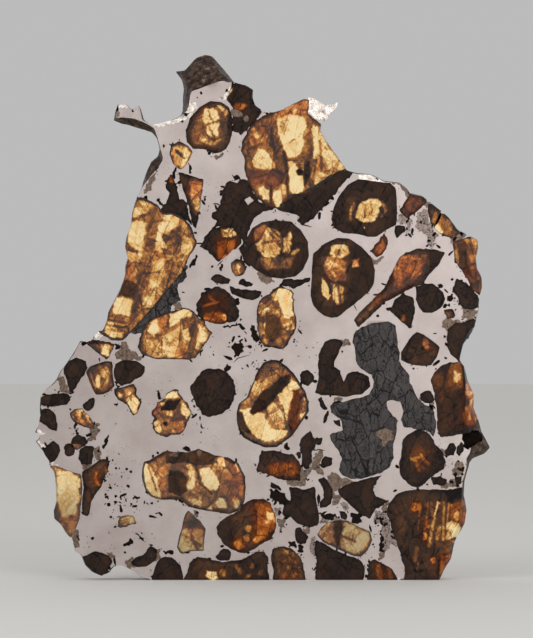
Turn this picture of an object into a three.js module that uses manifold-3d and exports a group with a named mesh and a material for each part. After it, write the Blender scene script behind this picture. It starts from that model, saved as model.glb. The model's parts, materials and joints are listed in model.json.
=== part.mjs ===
// Pallasite meteorite slice: a thin slab of nickel-iron with olivine crystals, polished on both
// faces, broken all round and sawn flat at its foot, where it stands.
// Millimetres, +Z up. The front face looks along -Y. The origin is under the middle of the slab,
// on the plane of the foot.
import * as THREE from 'three';
import Module from 'manifold-3d';

const wasm = await Module();
wasm.setup();

// Driving dimensions, in millimetres
const thickness = 7;
const frontY = -thickness / 2;
const backY = thickness / 2;
const broadestLevel = 0.45; // how far back the broken edge stands out most, as a share of the thickness
const edgeWear = 0.4; // how far the polished faces stop short of the outline at the broken edge
const pocketGap = 0.3; // clear space between a crystal and the metal or the crystal beside it
const darkDepth = 4.4; // depth of a pocket that ends inside the slab
const pocketGrowth = 0.2; // how far a pocket reaches outside the picked outline of its crystal
const crystalShrink = pocketGap - pocketGrowth; // and how far the crystal stops inside it
const darkFloor = 0.7; // size of the end of a blind pocket, as a share of its mouth
const slopedShare = 0.35; // where a sloped stretch of the edge stands out most, from outline to front
const leastWear = 0.3; // the least wear of the edge, as a share of edgeWear
const leastBulge = 0.25; // a side of an outline that bows out less than this stays straight
const sharpestCorner = 0.5; // limits how far a sharp corner moves when an outline is offset
const overcut = 1; // how far a crystal is drawn past a face before the slab's shape cuts it off

// Outlines are picked by eye as columns and rows of the photograph of the polished face.
const pixelsPerMillimetre = 4;
const middleColumn = 262.6;
const footRow = 580;

// Edge of the slab, clockwise as seen from the front, starting at the left end of the sawn foot.
// A third number is how far inside the outline the front face stops, in pixels. Four numbers give
// the outline and then the place where the front face stops, and there the edge slopes.
const slabEdge = [
  [151, 580], [140, 578], [130, 570], [121, 566], [114, 568], [109, 574], [101, 577.5], [91, 573],
  [84, 566], [80, 556], [74, 552], [71, 540], [66, 536], [60, 526], [53, 519.5], [52.5, 511],
  [55, 500.5], [54.5, 485], [53, 472], [48, 467.5], [48, 462], [44, 455], [40, 449.5], [34, 441.5],
  [38.5, 438], [37, 434], [33.2, 433], [37, 426], [39, 416], [38.5, 406], [39.5, 396], [45, 389.5],
  [54, 381], [59, 371.5], [65, 363.5], [72, 353], [77, 345], [79, 340], [84, 341], [90, 339.5],
  [94, 334], [97, 330.5], [102, 330], [105.5, 320], [107, 312], [113, 300], [118.5, 290],
  [121.5, 282], [124, 274], [123.5, 266], [126.5, 258], [124, 247], [125.5, 237], [129, 225],
  [131, 212], [135, 199], [139.5, 190], [142, 181, 4], [145, 172, 7], [150, 161, 10], [157, 155, 7],
  [158.5, 149], [156, 138], [151, 132.5, 7], [142, 129.5, 8], [132, 126.5, 8], [121, 123.5, 6],
  [112.5, 120.5, 3], [114, 112], [117, 103], [127, 103.5], [131, 108.5], [139, 104.5], [141.5, 110],
  [144, 119], [152, 124], [165, 121], [176, 117], [181, 112, 186, 112], [182, 104, 189, 104],
  [182, 96, 189.5, 98], [183, 87, 190.5, 92], [181, 78, 194, 90], [174, 69.5, 198, 89],
  [184, 68.5, 202, 87.5], [189, 63, 206, 86], [196, 55.5, 210, 84.5], [205, 52.5, 214, 83],
  [212, 54, 218, 81.5], [221, 64.5, 223, 80.5], [230, 75, 228, 82], [236, 82], [246, 84], [254, 89],
  [253, 97], [256, 105], [263, 109.5], [273, 111.5], [282, 108.5], [292, 102.5], [303, 97.5],
  [309, 98], [315, 101.5], [325, 106], [334, 105], [338, 103], [336, 109.5], [329, 113.5],
  [323, 120], [321.5, 130], [328, 141], [337, 154], [348, 169.5], [357, 172], [371, 173],
  [385, 180], [400, 181.5], [407, 187], [411, 192], [424, 195], [433, 203], [443, 211], [450, 217],
  [459, 229], [468, 233], [479, 239], [479, 248], [476.5, 258], [478.5, 268], [483, 277],
  [483, 288], [480.5, 298], [480, 309], [476, 326], [472, 335, 4], [464.5, 344], [460.5, 360],
  [466, 366, 464, 366], [469, 380, 466, 382], [475.5, 395, 466, 396], [475, 408, 466, 408],
  [480, 420, 467, 420], [483, 432, 470, 432], [492, 448.5, 472, 445], [486, 455, 470, 453],
  [474, 459.5, 466.5, 459], [470, 467, 3], [466, 481, 3], [465, 495, 3], [468, 511, 6],
  [466, 524, 6], [456, 542, 5], [452, 560, 5], [445, 571, 5], [440, 580],
];

// The crystals. back gives the size of the crystal's outline on the rear face, as a share of its
// front outline, and shift moves it, in pixels. A crystal without back is in a pocket that ends
// inside the slab. Those named first keep their shape where two meet.
const crystals = [
  { name: 'olivine_great_top', back: 0.86, shift: [0, 2], outline: [
    [262, 117], [275, 112.5], [286, 104], [303, 94], [308, 107], [320, 121], [326, 127], [333, 142],
    [342, 154], [352, 168], [336, 174], [324, 182], [303, 195], [290, 197], [283, 205], [274, 209],
    [262, 207], [255, 199], [248, 182], [242, 157], [240.5, 146], [252, 127]] },
  { name: 'olivine_great_left', back: 0.9, shift: [-3, -1], outline: [
    [128, 203], [132, 199], [144, 198], [154, 203], [160, 210], [170, 214], [181, 214.5],
    [189, 222], [194, 234], [196, 246], [184, 265], [172, 281], [159, 300], [149, 311],
    [136, 325], [124, 338], [115, 340.5], [107, 337], [98, 326], [102, 308], [112, 290],
    [119, 272], [120, 255], [121, 235]] },
  { name: 'olivine_great_centre', back: 0.84, shift: [0, 2], outline: [
    [258, 370], [263, 363], [271, 359.5], [280, 361], [294, 374], [305, 391], [309, 411],
    [301, 423], [292, 436], [277, 447], [265, 447.5], [253, 443], [243, 437], [237, 423],
    [238.5, 404], [247, 397], [253, 382]] },
  { name: 'olivine_great_lower_left', back: 0.88, shift: [-2, 0], outline: [
    [144, 462], [150, 460], [164, 451], [186, 452], [198, 449], [215, 455], [228, 457],
    [238, 463], [245, 476], [245, 499], [240, 510], [230, 514], [208, 511], [188, 506.5],
    [181, 499.5], [160, 500], [150, 496], [142.5, 482]] },
  { name: 'olivine_gold_hexagon_left', back: 0.86, shift: [-1, 0], outline: [
    [147, 325], [154, 319], [168, 313], [187, 308], [195, 312], [204, 321], [211, 334], [199, 356],
    [194, 359.5], [170, 359], [148, 359], [137, 344], [145, 336]] },
  { name: 'olivine_gold_flank_left', back: 0.9, shift: [-1, 0], outline: [
    [46, 466], [57, 466], [66, 470], [81, 474], [81, 504], [80, 518], [75, 530], [70, 541],
    [58, 532], [47, 522], [49, 498], [47, 478]] },
  { name: 'olivine_great_lower_centre', back: 0.72, shift: [5, 2], outline: [
    [216, 527], [230, 514], [243, 505], [252, 499], [263, 498.5], [270, 503], [275, 514],
    [277, 525], [272, 539], [258, 547], [246, 553.5], [230, 548.5], [223, 543]] },
  { name: 'olivine_gold_lower_right', back: 0.86, shift: [0, 0], outline: [
    [317, 535], [321, 528], [328, 522], [347, 520.5], [358, 526], [370, 532], [372.5, 540],
    [368, 550], [361, 557], [342, 551], [323, 542]] },
  { name: 'olivine_fractured_centre', back: 0.84, shift: [1, -1], outline: [
    [256, 303], [265, 297], [273, 290], [282, 286.5], [290, 291], [294.5, 299], [293, 312],
    [296, 324], [293, 334], [286, 346], [280, 349], [266, 346], [260, 339], [257, 327], [255, 314]] },
  { name: 'olivine_ring_centre', back: 0.62, shift: [-2, -2], outline: [
    [262, 222], [275, 220.5], [291, 221.5], [300, 229], [308, 242], [309, 256], [303, 270],
    [295, 276.5], [283, 278.5], [268, 277], [246, 262], [243, 253], [246, 239], [252, 228]] },
  { name: 'olivine_ring_right', back: 0.56, shift: [6, 0], outline: [
    [358, 179], [347, 185], [338, 198], [331, 219], [334, 228], [343, 233], [356, 234],
    [368, 237], [377, 236.5], [386, 230], [396, 225], [397, 212], [395.5, 188], [390, 183],
    [372, 181]] },
  { name: 'olivine_round_top_left', back: 0.7, shift: [1, 0], outline: [
    [210, 101], [221, 102], [229, 107], [232.5, 120], [232, 134], [226, 149], [215, 153.5],
    [204, 149.5], [193, 149], [187, 142], [186, 130], [190, 117.5], [200, 107]] },
  { name: 'olivine_brown_flank_right', back: 0.72, shift: [2, -6], outline: [
    [431, 380], [434, 372], [441, 365.5], [450, 361.5], [462, 361], [472, 368], [475, 384],
    [482, 396], [481, 408], [486, 418], [488, 430], [478, 433], [462, 434], [440, 437],
    [437, 428], [437, 412], [434, 398]] },
  { name: 'olivine_great_foot_right', back: 0.6, shift: [14, 2], outline: [
    [387, 514], [388, 504], [395, 495], [405, 491], [416, 489.5], [445, 489], [470, 488],
    [474, 505], [472, 530], [462, 545], [458, 560], [448, 584], [404, 584], [404, 571],
    [400, 553], [394, 537]] },
  { name: 'olivine_red_lens', back: 0.7, shift: [-2, 0], outline: [
    [407, 250.5], [421, 249], [434, 249], [445, 253], [437, 267], [428, 280], [416, 286],
    [408, 291], [396, 297], [380, 306], [366, 319], [358, 329.5], [353, 320], [362, 307],
    [386, 287], [393, 270], [400, 258.5]] },
  { name: 'olivine_gold_flank_right', back: 0.8, shift: [2, 0], outline: [
    [454, 248], [460, 241], [466, 237], [474, 230], [484, 236], [486, 255], [490, 280],
    [488, 294], [482, 299], [477, 290], [467, 276], [457, 262]] },
  { name: 'olivine_brown_centre_right', back: 0.55, shift: [-6, 0], outline: [
    [313, 254], [325, 243], [336, 238], [349, 238.5], [361, 246], [371, 257], [375, 270],
    [374, 283], [369, 292], [353, 305], [338, 317.5], [324, 316], [313, 305], [310.5, 296],
    [312, 270]] },
  { name: 'olivine_amber_left', back: 0.8, shift: [2, 2], outline: [
    [86, 372], [90, 366.5], [98, 363], [112, 361.5], [112.5, 373], [114.5, 386], [110, 391],
    [96, 394.5], [89, 379]] },
  { name: 'olivine_tail_left', back: 0.8, shift: [1, 1], outline: [
    [114, 389], [124, 387], [134, 383.5], [137, 389], [136, 394], [142, 402], [138, 413],
    [133, 416], [127, 405], [118, 399.5]] },
  { name: 'olivine_amber_lower_left', back: 0.8, shift: [0, 2], outline: [
    [188, 510.5], [199, 520], [206, 529], [204, 540], [204, 551], [192, 551], [182, 554],
    [177, 547], [182, 527], [185, 515]] },
  { name: 'olivine_brown_grain_left', back: 0.8, shift: [1, 1], outline: [
    [155, 402], [163, 397.5], [168, 392.5], [178, 390], [183, 400], [192, 414], [186, 427],
    [181, 434.5], [165, 437], [157, 433], [152, 421], [153, 409]] },
  { name: 'olivine_amber_grain_top_left', back: 0.84, shift: [0, 0], outline: [
    [171, 145], [179, 141], [188, 145.5], [193, 152], [189, 161], [181, 169.5], [173, 164],
    [169.5, 154]] },
  { name: 'olivine_red_shard_top_left', back: 0.8, shift: [1, 0], outline: [
    [178, 172], [190, 176], [203.5, 179], [201, 200], [199, 220], [195, 230], [189, 221],
    [187, 201], [182, 186]] },
  { name: 'olivine_amber_fleck_left', back: 0.8, shift: [0, 0], outline: [
    [69.5, 413], [75, 409], [82, 408.5], [91, 418], [94.5, 428.5], [84, 427], [74, 422]] },
  { name: 'olivine_red_brown_centre_left', back: 0.7, shift: [0, -2], outline: [
    [206, 232], [216, 226.5], [229, 230], [237, 234], [242, 241], [239, 249], [226, 257],
    [219, 262], [206, 252], [200, 248], [203, 239]] },
  { name: 'olivine_little_ring', back: 0.6, shift: [0, 0], outline: [
    [231, 263], [236, 258.5], [243, 260], [247, 268], [243.5, 275], [236, 277], [231.5, 271.5]] },
  { name: 'olivine_amber_flank_upper_right', back: 0.8, shift: [1, 0], outline: [
    [441, 209], [448, 210], [456, 219], [463, 229], [457, 234], [449, 237], [434, 229],
    [437.5, 220]] },
  { name: 'olivine_red_grain_upper_right', back: 0.7, shift: [0, 0], outline: [
    [410, 194], [418, 193], [427, 199], [420, 208], [409, 218], [400, 211.5], [405, 203.5]] },
  { name: 'olivine_gold_foot_centre', back: 0.7, shift: [0, 0], outline: [
    [272, 548], [281, 545.5], [291, 547], [301, 557], [305, 572], [305, 584], [272, 584],
    [273, 572], [271, 560]] },
  { name: 'olivine_brown_hexagon_centre', back: 0.5, shift: [-4, 6], outline: [
    [200, 297], [205, 291], [216, 286.5], [228, 290], [236, 301], [239.5, 313], [236, 321],
    [220, 323.5], [205, 320], [195.5, 309]] },
  { name: 'olivine_brown_wedge_left', back: 0.6, shift: [0, -2], outline: [
    [82, 472], [90, 467], [100, 459.5], [110, 461], [108, 472], [100, 489], [92, 501],
    [88, 517], [83, 516], [82, 496]] },
  { name: 'olivine_glowing_dark_lower_right', back: 0.42, shift: [-1, 4], outline: [
    [403, 438], [410, 432], [420, 429.5], [429, 433], [438, 446], [447, 461], [444, 469],
    [431, 478], [418, 488], [406, 482], [399, 475], [400, 456]] },
  { name: 'olivine_brown_lozenge', back: 0.5, shift: [4, 3], outline: [
    [262, 450.5], [278, 451.5], [294, 456], [301, 469], [300, 480], [285, 479.5], [257, 471],
    [257.5, 460]] },
  { name: 'olivine_brown_foot_left', back: 0.6, shift: [0, 6], outline: [
    [185, 574], [190, 562], [197, 556], [208, 557.5], [222, 562], [243, 558.5], [255, 551.5],
    [264, 550.5], [268.5, 556], [267.5, 566], [269, 584], [184.5, 584]] },
  { name: 'olivine_brown_foot_right', back: 0.6, shift: [0, 2], outline: [
    [368, 562], [375, 558.5], [384, 563], [393, 570], [398, 584], [368.5, 584], [367, 572]] },
  { name: 'olivine_rusty_quarter_right', back: 0.4, shift: [2, -2], outline: [
    [401, 352], [409, 339.5], [417, 332], [430, 339], [440, 347.5], [437, 357], [431.5, 365],
    [414, 365], [401, 360]] },
  { name: 'olivine_dark_crest', outline: [
    [233, 86], [236, 79], [248, 79], [259, 88], [258, 98], [263, 109], [256, 121], [246, 132],
    [239, 136.5], [233, 130], [231, 112], [226, 99]] },
  { name: 'olivine_dark_strip_top', outline: [
    [349, 170.5], [349.5, 175], [340, 190], [331, 199], [318, 213], [306, 224], [300, 223],
    [297.5, 217], [278, 210], [286, 206], [291, 199.5], [312, 192], [338, 176]] },
  { name: 'olivine_dark_mass_left', outline: [
    [230, 181], [249, 183.5], [251, 192], [261, 209], [257, 220], [243, 236], [229, 228],
    [218, 225], [213, 211], [222, 198]] },
  { name: 'olivine_brown_shard_top_left', outline: [
    [170, 175], [174, 176], [177, 189], [180, 201], [187, 206], [188, 219], [180, 214],
    [168, 213], [162, 209], [168, 196], [169, 190], [165, 185]] },
  { name: 'olivine_dark_round_centre', outline: [
    [190, 388.5], [202, 370], [212, 368.5], [226, 373], [235, 389], [232, 404], [222, 414],
    [208, 416.5], [197, 404]] },
  { name: 'olivine_dark_upper_left', outline: [
    [63.5, 369], [66, 362], [76, 357], [86, 361], [88, 368], [80, 382], [71, 393], [67, 384]] },
  { name: 'olivine_dark_oval_left', outline: [
    [115, 364], [124, 360], [138, 361.5], [145, 367], [142, 376], [131, 383], [121, 386],
    [114, 378]] },
  { name: 'olivine_dark_flank_upper_left', outline: [
    [38, 403], [42, 395.5], [67, 393.5], [71, 400], [67, 405], [40, 406]] },
  { name: 'olivine_dark_flank_middle_left', outline: [
    [36, 414], [41, 408.5], [50, 408], [57, 419], [57, 432], [51, 430], [39, 421]] },
  { name: 'olivine_dark_flank_lower_left', outline: [
    [42, 450], [48, 445], [53, 439.5], [60, 444], [61, 452], [56, 461], [47, 463]] },
  { name: 'olivine_dark_foot_far_left', outline: [
    [82, 556.5], [95, 551], [103, 552], [114, 561], [110, 569], [107, 578], [100, 583],
    [88, 576], [79, 564]] },
  { name: 'olivine_dark_foot_second_left', outline: [
    [153.5, 568], [160, 558], [171, 556.5], [181, 564], [184, 574], [183.5, 584], [153, 584]] },
  { name: 'olivine_dark_block_lower_centre', outline: [
    [289, 487], [306, 489], [314.5, 487], [316, 500], [320, 516], [318, 526], [309, 529],
    [298, 524], [291, 517.5], [283, 516], [284, 506], [290, 500]] },
  { name: 'olivine_dark_foot_centre', outline: [
    [316, 540], [330, 547], [348, 555.5], [361, 560], [366, 568], [365, 575], [358, 584],
    [316.5, 584], [315.5, 560]] },
  { name: 'olivine_red_brown_lower_right', outline: [
    [337, 490], [354, 482], [370, 477.5], [384, 474.5], [373.5, 486], [376, 496], [389, 501],
    [375, 510], [371, 519], [362, 516], [345, 501]] },
  { name: 'olivine_dark_shard_lower_centre', outline: [
    [300, 442], [310, 431], [315, 441], [312, 456], [308, 468.5], [302, 466], [300.5, 453]] },
  { name: 'olivine_dark_branch_centre_right', outline: [
    [320, 348], [331, 339], [343, 342], [338, 356], [334, 367], [341, 370.5], [343.5, 382],
    [347, 373.5], [358, 371], [369, 377], [370.5, 386], [362, 394], [345, 397], [328, 396],
    [315, 393], [318, 378], [317, 361]] },
  { name: 'olivine_dark_kite_right', outline: [
    [390.5, 303], [396, 296.5], [406, 295.5], [415, 303], [414.5, 318], [410, 330], [400, 321],
    [389, 311.5]] },
  { name: 'olivine_dark_heptagon_right', outline: [
    [416.5, 289], [424, 283.5], [431, 283.5], [446, 294], [441, 309.5], [429, 314.5],
    [417, 299]] },
  { name: 'olivine_dark_flank_upper_right', outline: [
    [453, 291], [457, 279.5], [464, 281], [475, 292], [486, 300], [484, 314], [471, 313],
    [462.5, 306]] },
  { name: 'olivine_dark_flank_middle_right', outline: [
    [448, 328], [465, 321], [480, 319], [479, 332], [471, 343], [466, 359], [456, 360.5],
    [447, 346]] },
];

// The iron sulphide. The mass bends round a tongue of metal.
const sulphides = [
  { name: 'troilite_mass', outline: [
    [352, 334], [359, 328], [372, 323.5], [388, 320.5], [396, 325], [398, 334], [398, 346],
    [401, 353], [399, 361], [404, 367], [410, 375], [410.5, 383], [415, 394], [421, 401],
    [434, 410], [436, 422], [434, 438], [426, 430.5], [404, 427.5], [400.5, 420], [403, 411],
    [400.5, 402], [387, 401.5], [388.5, 409], [397.5, 421], [396, 434], [394, 447], [390.5, 468],
    [380, 474], [362, 479], [350, 480], [338, 470.5], [342, 459], [338, 450], [328.5, 435],
    [342, 429.5], [340, 420], [330, 413], [330, 405], [342, 401.5], [363, 397], [372.5, 388],
    [371, 375], [359, 368.5], [354, 348]] },
  { name: 'troilite_band_left', outline: [
    [186, 262], [188, 270], [187, 280], [178, 284], [177.5, 292], [180, 301], [172, 304.5],
    [168, 311], [152, 318], [144, 326], [143, 335], [136, 343], [140, 352], [133, 351],
    [126, 338], [137, 326.5], [153, 310], [165, 296], [181, 274]] },
];

const place = (column, row) => new THREE.Vector2(
  (column - middleColumn) / pixelsPerMillimetre,
  (footRow - row) / pixelsPerMillimetre,
);

// A steady value from 0 to 1 for each number, to vary the broken edge.
const scatterRate = 12.9898;
const scatterSpread = 43758.5453;
const scatter = (number) => {
  const wave = Math.sin(number * scatterRate) * scatterSpread;
  return wave - Math.floor(wave);
};

// The outline through the picked points, rounded at the corners, with one more point between each two.
function roundedLoop(outline) {
  const corners = outline.map(([column, row]) => place(column, row));
  const curve = new THREE.CatmullRomCurve3(
    corners.map((corner) => new THREE.Vector3(corner.x, 0, corner.y)), true, 'centripetal');
  const samples = [];
  corners.forEach((corner, index) => {
    samples.push(corner);
    const next = corners[(index + 1) % corners.length];
    const middle = curve.getPoint((index + 0.5) / corners.length);
    const between = new THREE.Vector2(middle.x, middle.z);
    const chordMiddle = corner.clone().lerp(next, 0.5);
    const bulge = between.distanceTo(chordMiddle);
    if (bulge > leastBulge) samples.push(between);
  });
  return THREE.ShapeUtils.isClockWise(samples) ? samples.reverse() : samples;
}

// The loop moved outwards by a distance, or inwards by a negative one.
function offsetLoop(loop, distance) {
  return loop.map((point, index) => {
    const before = loop[(index + loop.length - 1) % loop.length];
    const after = loop[(index + 1) % loop.length];
    const arriving = point.clone().sub(before).normalize();
    const leaving = after.clone().sub(point).normalize();
    const outward = new THREE.Vector2(arriving.y + leaving.y, -arriving.x - leaving.x).normalize();
    const spread = Math.max(outward.dot(new THREE.Vector2(arriving.y, -arriving.x)), sharpestCorner);
    return point.clone().addScaledVector(outward, distance / spread);
  });
}

function scaledLoop(loop, size, shift) {
  const middle = loop.reduce((sum, point) => sum.add(point), new THREE.Vector2()).divideScalar(loop.length);
  return loop.map((point) => point.clone().sub(middle).multiplyScalar(size).add(middle).add(shift));
}

// A closed solid through loops of equal count, each at its own depth along Y, from front to back.
function loftSolid(levels) {
  const count = levels[0].loop.length;
  const vertices = [];
  levels.forEach(({ y, loop }) => loop.forEach((point) => vertices.push(point.x, y, point.y)));
  const triangles = [];
  for (let level = 0; level + 1 < levels.length; level += 1) {
    for (let index = 0; index < count; index += 1) {
      const next = (index + 1) % count;
      const near = level * count;
      const far = near + count;
      triangles.push(near + index, far + next, near + next, near + index, far + index, far + next);
    }
  }
  const last = (levels.length - 1) * count;
  THREE.ShapeUtils.triangulateShape(levels[0].loop, []).forEach(([a, b, c]) => triangles.push(a, b, c));
  THREE.ShapeUtils.triangulateShape(levels.at(-1).loop, [])
    .forEach(([a, b, c]) => triangles.push(last + a, last + c, last + b));
  return new wasm.Manifold(new wasm.Mesh({
    numProp: 3,
    vertProperties: new Float32Array(vertices),
    triVerts: new Uint32Array(triangles),
  }));
}

// The largest of the bodies that a cut leaves.
const largestBody = (solid) => solid.decompose()
  .reduce((largest, body) => (body.volume() > largest.volume() ? body : largest));

// The three outlines of the slab, on its front face, where its broken edge stands out most, and on
// its rear face.
function slabLoops() {
  const edge = slabEdge.slice().reverse();
  const outline = edge.map(([column, row]) => place(column, row));
  const inner = offsetLoop(outline, -1);
  const worn = (index, wear) => {
    const point = outline[index].clone().lerp(inner[index], wear);
    return outline[index].y === 0 ? new THREE.Vector2(point.x, 0) : point;
  };
  const own = (index) => {
    const [, , third, fourth] = edge[index];
    if (fourth !== undefined) return place(third, fourth);
    return third === undefined ? null : worn(index, third / pixelsPerMillimetre);
  };
  const frayed = (index, number) => worn(index, edgeWear * (leastWear + scatter(number)));
  const isSloped = (index) => edge[index].length === 4;
  return {
    front: outline.map((point, index) => own(index) ?? frayed(index, index)),
    broadest: outline.map((point, index) => (
      isSloped(index) ? point.clone().lerp(own(index), slopedShare) : point)),
    back: outline.map((point, index) => (isSloped(index) ? point : frayed(index, index + 0.5))),
  };
}

function slabSolid() {
  const { front, broadest, back } = slabLoops();
  return loftSolid([
    { y: frontY, loop: front },
    { y: frontY + thickness * broadestLevel, loop: broadest },
    { y: backY, loop: back },
  ]);
}

// The body that fills an outline from in front of the slab to the end of its pocket.
function grainSolid({ outline, back, shift = [0, 0] }, grow) {
  const loop = offsetLoop(roundedLoop(outline), grow);
  const move = new THREE.Vector2(shift[0], -shift[1]).divideScalar(pixelsPerMillimetre);
  const far = scaledLoop(loop, back ?? darkFloor, move);
  const through = [{ y: backY, loop: far }, { y: backY + overcut, loop: far }];
  const blind = [{ y: frontY + darkDepth + Math.max(grow, 0), loop: far }];
  return loftSolid([
    { y: frontY - overcut, loop },
    { y: frontY, loop },
    ...(back ? through : blind),
  ]);
}

const slab = slabSolid();
let metal = slab;
let taken = null;
const bodies = [];
const lookOf = (grain) => (grain.back ? 'clearOlivine' : 'darkOlivine');
const grains = [
  ...crystals.map((grain) => ({ ...grain, look: lookOf(grain) })),
  ...sulphides.map((grain) => ({ ...grain, look: 'troilite' })),
];
for (const grain of grains) {
  const pocket = grainSolid(grain, pocketGrowth);
  let body = grainSolid(grain, -crystalShrink).intersect(slab);
  if (taken) body = largestBody(body.subtract(taken));
  taken = taken ? taken.add(pocket) : pocket;
  metal = metal.subtract(pocket);
  bodies.push({ name: grain.name, look: grain.look, solid: body });
}
metal = largestBody(metal);

// Colour, roughness and metalness of each kind of material
const looks = {
  nickelIron: { color: '#b9aeac', roughness: 0.3, metalness: 1 },
  clearOlivine: { color: '#c9933f', roughness: 0.15, metalness: 0 },
  darkOlivine: { color: '#3a2f28', roughness: 0.2, metalness: 0 },
  troilite: { color: '#47474b', roughness: 0.45, metalness: 0.6 },
};

function meshOf(name, solid, look) {
  const { vertProperties, triVerts, numProp } = solid.getMesh();
  const geometry = new THREE.BufferGeometry();
  const positions = new Float32Array((vertProperties.length / numProp) * 3);
  for (let vertex = 0; vertex * numProp < vertProperties.length; vertex += 1) {
    positions.set(vertProperties.subarray(vertex * numProp, vertex * numProp + 3), vertex * 3);
  }
  geometry.setAttribute('position', new THREE.BufferAttribute(positions, 3));
  geometry.setIndex(new THREE.BufferAttribute(triVerts, 1));
  geometry.computeVertexNormals();
  const mesh = new THREE.Mesh(geometry, new THREE.MeshStandardMaterial(look));
  mesh.name = name;
  return mesh;
}

const slice = new THREE.Group();
slice.add(meshOf('metal_matrix', metal, looks.nickelIron));
bodies.forEach(({ name, look, solid }) => slice.add(meshOf(name, solid, looks[look])));

export default slice;
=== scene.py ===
# %% [markdown]
# This scene dresses a thin polished slice of a stony-iron meteorite, a pallasite. The real object is a
# slab sawn from a sponge of nickel-iron that is full of olivine crystals. The solids that the frame
# loads give the place of every crystal. This script makes a finer mesh and a finish for each of them.
# All shapes are worked out in millimetres in the plane of the slice, x to the right and z up, and are
# turned to metres when a mesh is made. The front face looks along -y.

# %% The frame
import json
import bmesh
import bpy
import numpy as np
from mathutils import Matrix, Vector
from mathutils.geometry import delaunay_2d_cdt

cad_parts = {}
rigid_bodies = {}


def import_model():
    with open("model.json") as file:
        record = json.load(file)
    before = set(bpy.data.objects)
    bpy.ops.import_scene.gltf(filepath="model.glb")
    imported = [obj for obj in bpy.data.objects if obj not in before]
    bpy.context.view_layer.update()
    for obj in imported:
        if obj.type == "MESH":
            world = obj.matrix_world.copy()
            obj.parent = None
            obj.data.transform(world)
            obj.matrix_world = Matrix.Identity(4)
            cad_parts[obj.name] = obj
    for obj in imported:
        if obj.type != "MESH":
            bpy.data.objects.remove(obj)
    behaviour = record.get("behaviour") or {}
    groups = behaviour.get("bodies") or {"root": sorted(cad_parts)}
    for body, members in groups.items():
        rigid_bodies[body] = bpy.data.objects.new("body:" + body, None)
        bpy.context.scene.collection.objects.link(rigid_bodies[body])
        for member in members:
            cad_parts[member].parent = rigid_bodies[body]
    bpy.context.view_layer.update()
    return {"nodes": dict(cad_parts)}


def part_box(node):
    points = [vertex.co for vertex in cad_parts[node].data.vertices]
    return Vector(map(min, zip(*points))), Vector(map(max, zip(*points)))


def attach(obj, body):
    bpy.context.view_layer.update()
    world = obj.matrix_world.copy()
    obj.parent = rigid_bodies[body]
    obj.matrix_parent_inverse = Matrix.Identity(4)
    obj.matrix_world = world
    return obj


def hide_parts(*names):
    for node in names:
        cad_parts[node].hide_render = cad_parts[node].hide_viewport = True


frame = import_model()
metre = 1000.0  # millimetres in a metre
slab_low, slab_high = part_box("metal_matrix")
front_depth = slab_low.y * metre
back_depth = slab_high.y * metre
thickness = back_depth - front_depth
print("slab thickness in mm", round(thickness, 2), "nodes", len(frame["nodes"]))

# %% [markdown]
# Outlines of the small things are picked on the photograph, as columns and rows. Four pixels are
# one millimetre, so one function turns every picked outline to real sizes.

# %% Picked points to millimetres
pixels_per_mm = 4.0
middle_column = 262.6
foot_row = 580.0


def picked(points):
    """Millimetres from picked columns and rows: x = (column - middle) / scale, z = (foot - row) / scale."""
    pixels = np.array([point[:2] for point in points], float)
    return np.column_stack([pixels[:, 0] - middle_column, foot_row - pixels[:, 1]]) / pixels_per_mm


# %% [markdown]
# Broken edges, ragged outlines and stains all need noise that is smooth, repeatable and the same for
# two pieces that touch. Value noise does this: a random number at each corner of a grid, blended in
# between by the curve 3t^2 - 2t^3.

# %% Smooth noise
noise_table = np.random.default_rng(7).random(4096)
hash_steps = np.array([73856093, 19349663, 83492791])


def cloud(points, cell, seed=0):
    """Value noise from 0 to 1 with features about one cell wide, for points in two or three dimensions."""
    scaled = points / cell + 17.31 * (seed + 1)
    corner_index = np.floor(scaled).astype(np.int64)
    share = scaled - corner_index
    share = share * share * (3 - 2 * share)
    axes = points.shape[1]
    total = np.zeros(len(points))
    for corner in np.ndindex(*(2,) * axes):
        weight = np.prod(np.where(corner, share, 1 - share), axis=1)
        index = ((corner_index + corner) @ hash_steps[:axes]) % len(noise_table)
        total += weight * noise_table[index]
    return total


def layered(points, layers):
    """The sum of several value noises, each given by its weight, its cell and its seed."""
    return sum(weight * cloud(points, cell, seed) for weight, cell, seed in layers)


def drift(points, cell, seed):
    """A shift in the plane for each point, from -0.5 to 0.5 along both axes, by two value noises."""
    return np.column_stack([cloud(points, cell, seed), cloud(points, cell, seed + 1)]) - 0.5


# %% [markdown]
# A crystal's outline is read from its solid by cutting the solid at a depth. The cut gives a ring of
# points. Rings at several depths, each resampled to the same number of points, are then joined into
# the crystal's wall.

# %% Rings cut from the solids
def solid_of(node):
    """Corner points in millimetres and triangles of a solid, with its doubled corners merged."""
    mesh = frame["nodes"][node].data
    corners = np.empty(len(mesh.vertices) * 3)
    mesh.vertices.foreach_get("co", corners)
    mesh.calc_loop_triangles()
    triangles = np.empty(len(mesh.loop_triangles) * 3, int)
    mesh.loop_triangles.foreach_get("vertices", triangles)
    merged, place = np.unique(np.round(corners.reshape(-1, 3) * metre, 4), axis=0, return_inverse=True)
    return merged, place.reshape(-1)[triangles].reshape(-1, 3)


def area_of(ring):
    """Signed area: half the sum of x1 z2 - x2 z1, positive where the ring runs against the clock."""
    after = np.roll(ring, -1, axis=0)
    return 0.5 * np.sum(ring[:, 0] * after[:, 1] - after[:, 0] * ring[:, 1])


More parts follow.
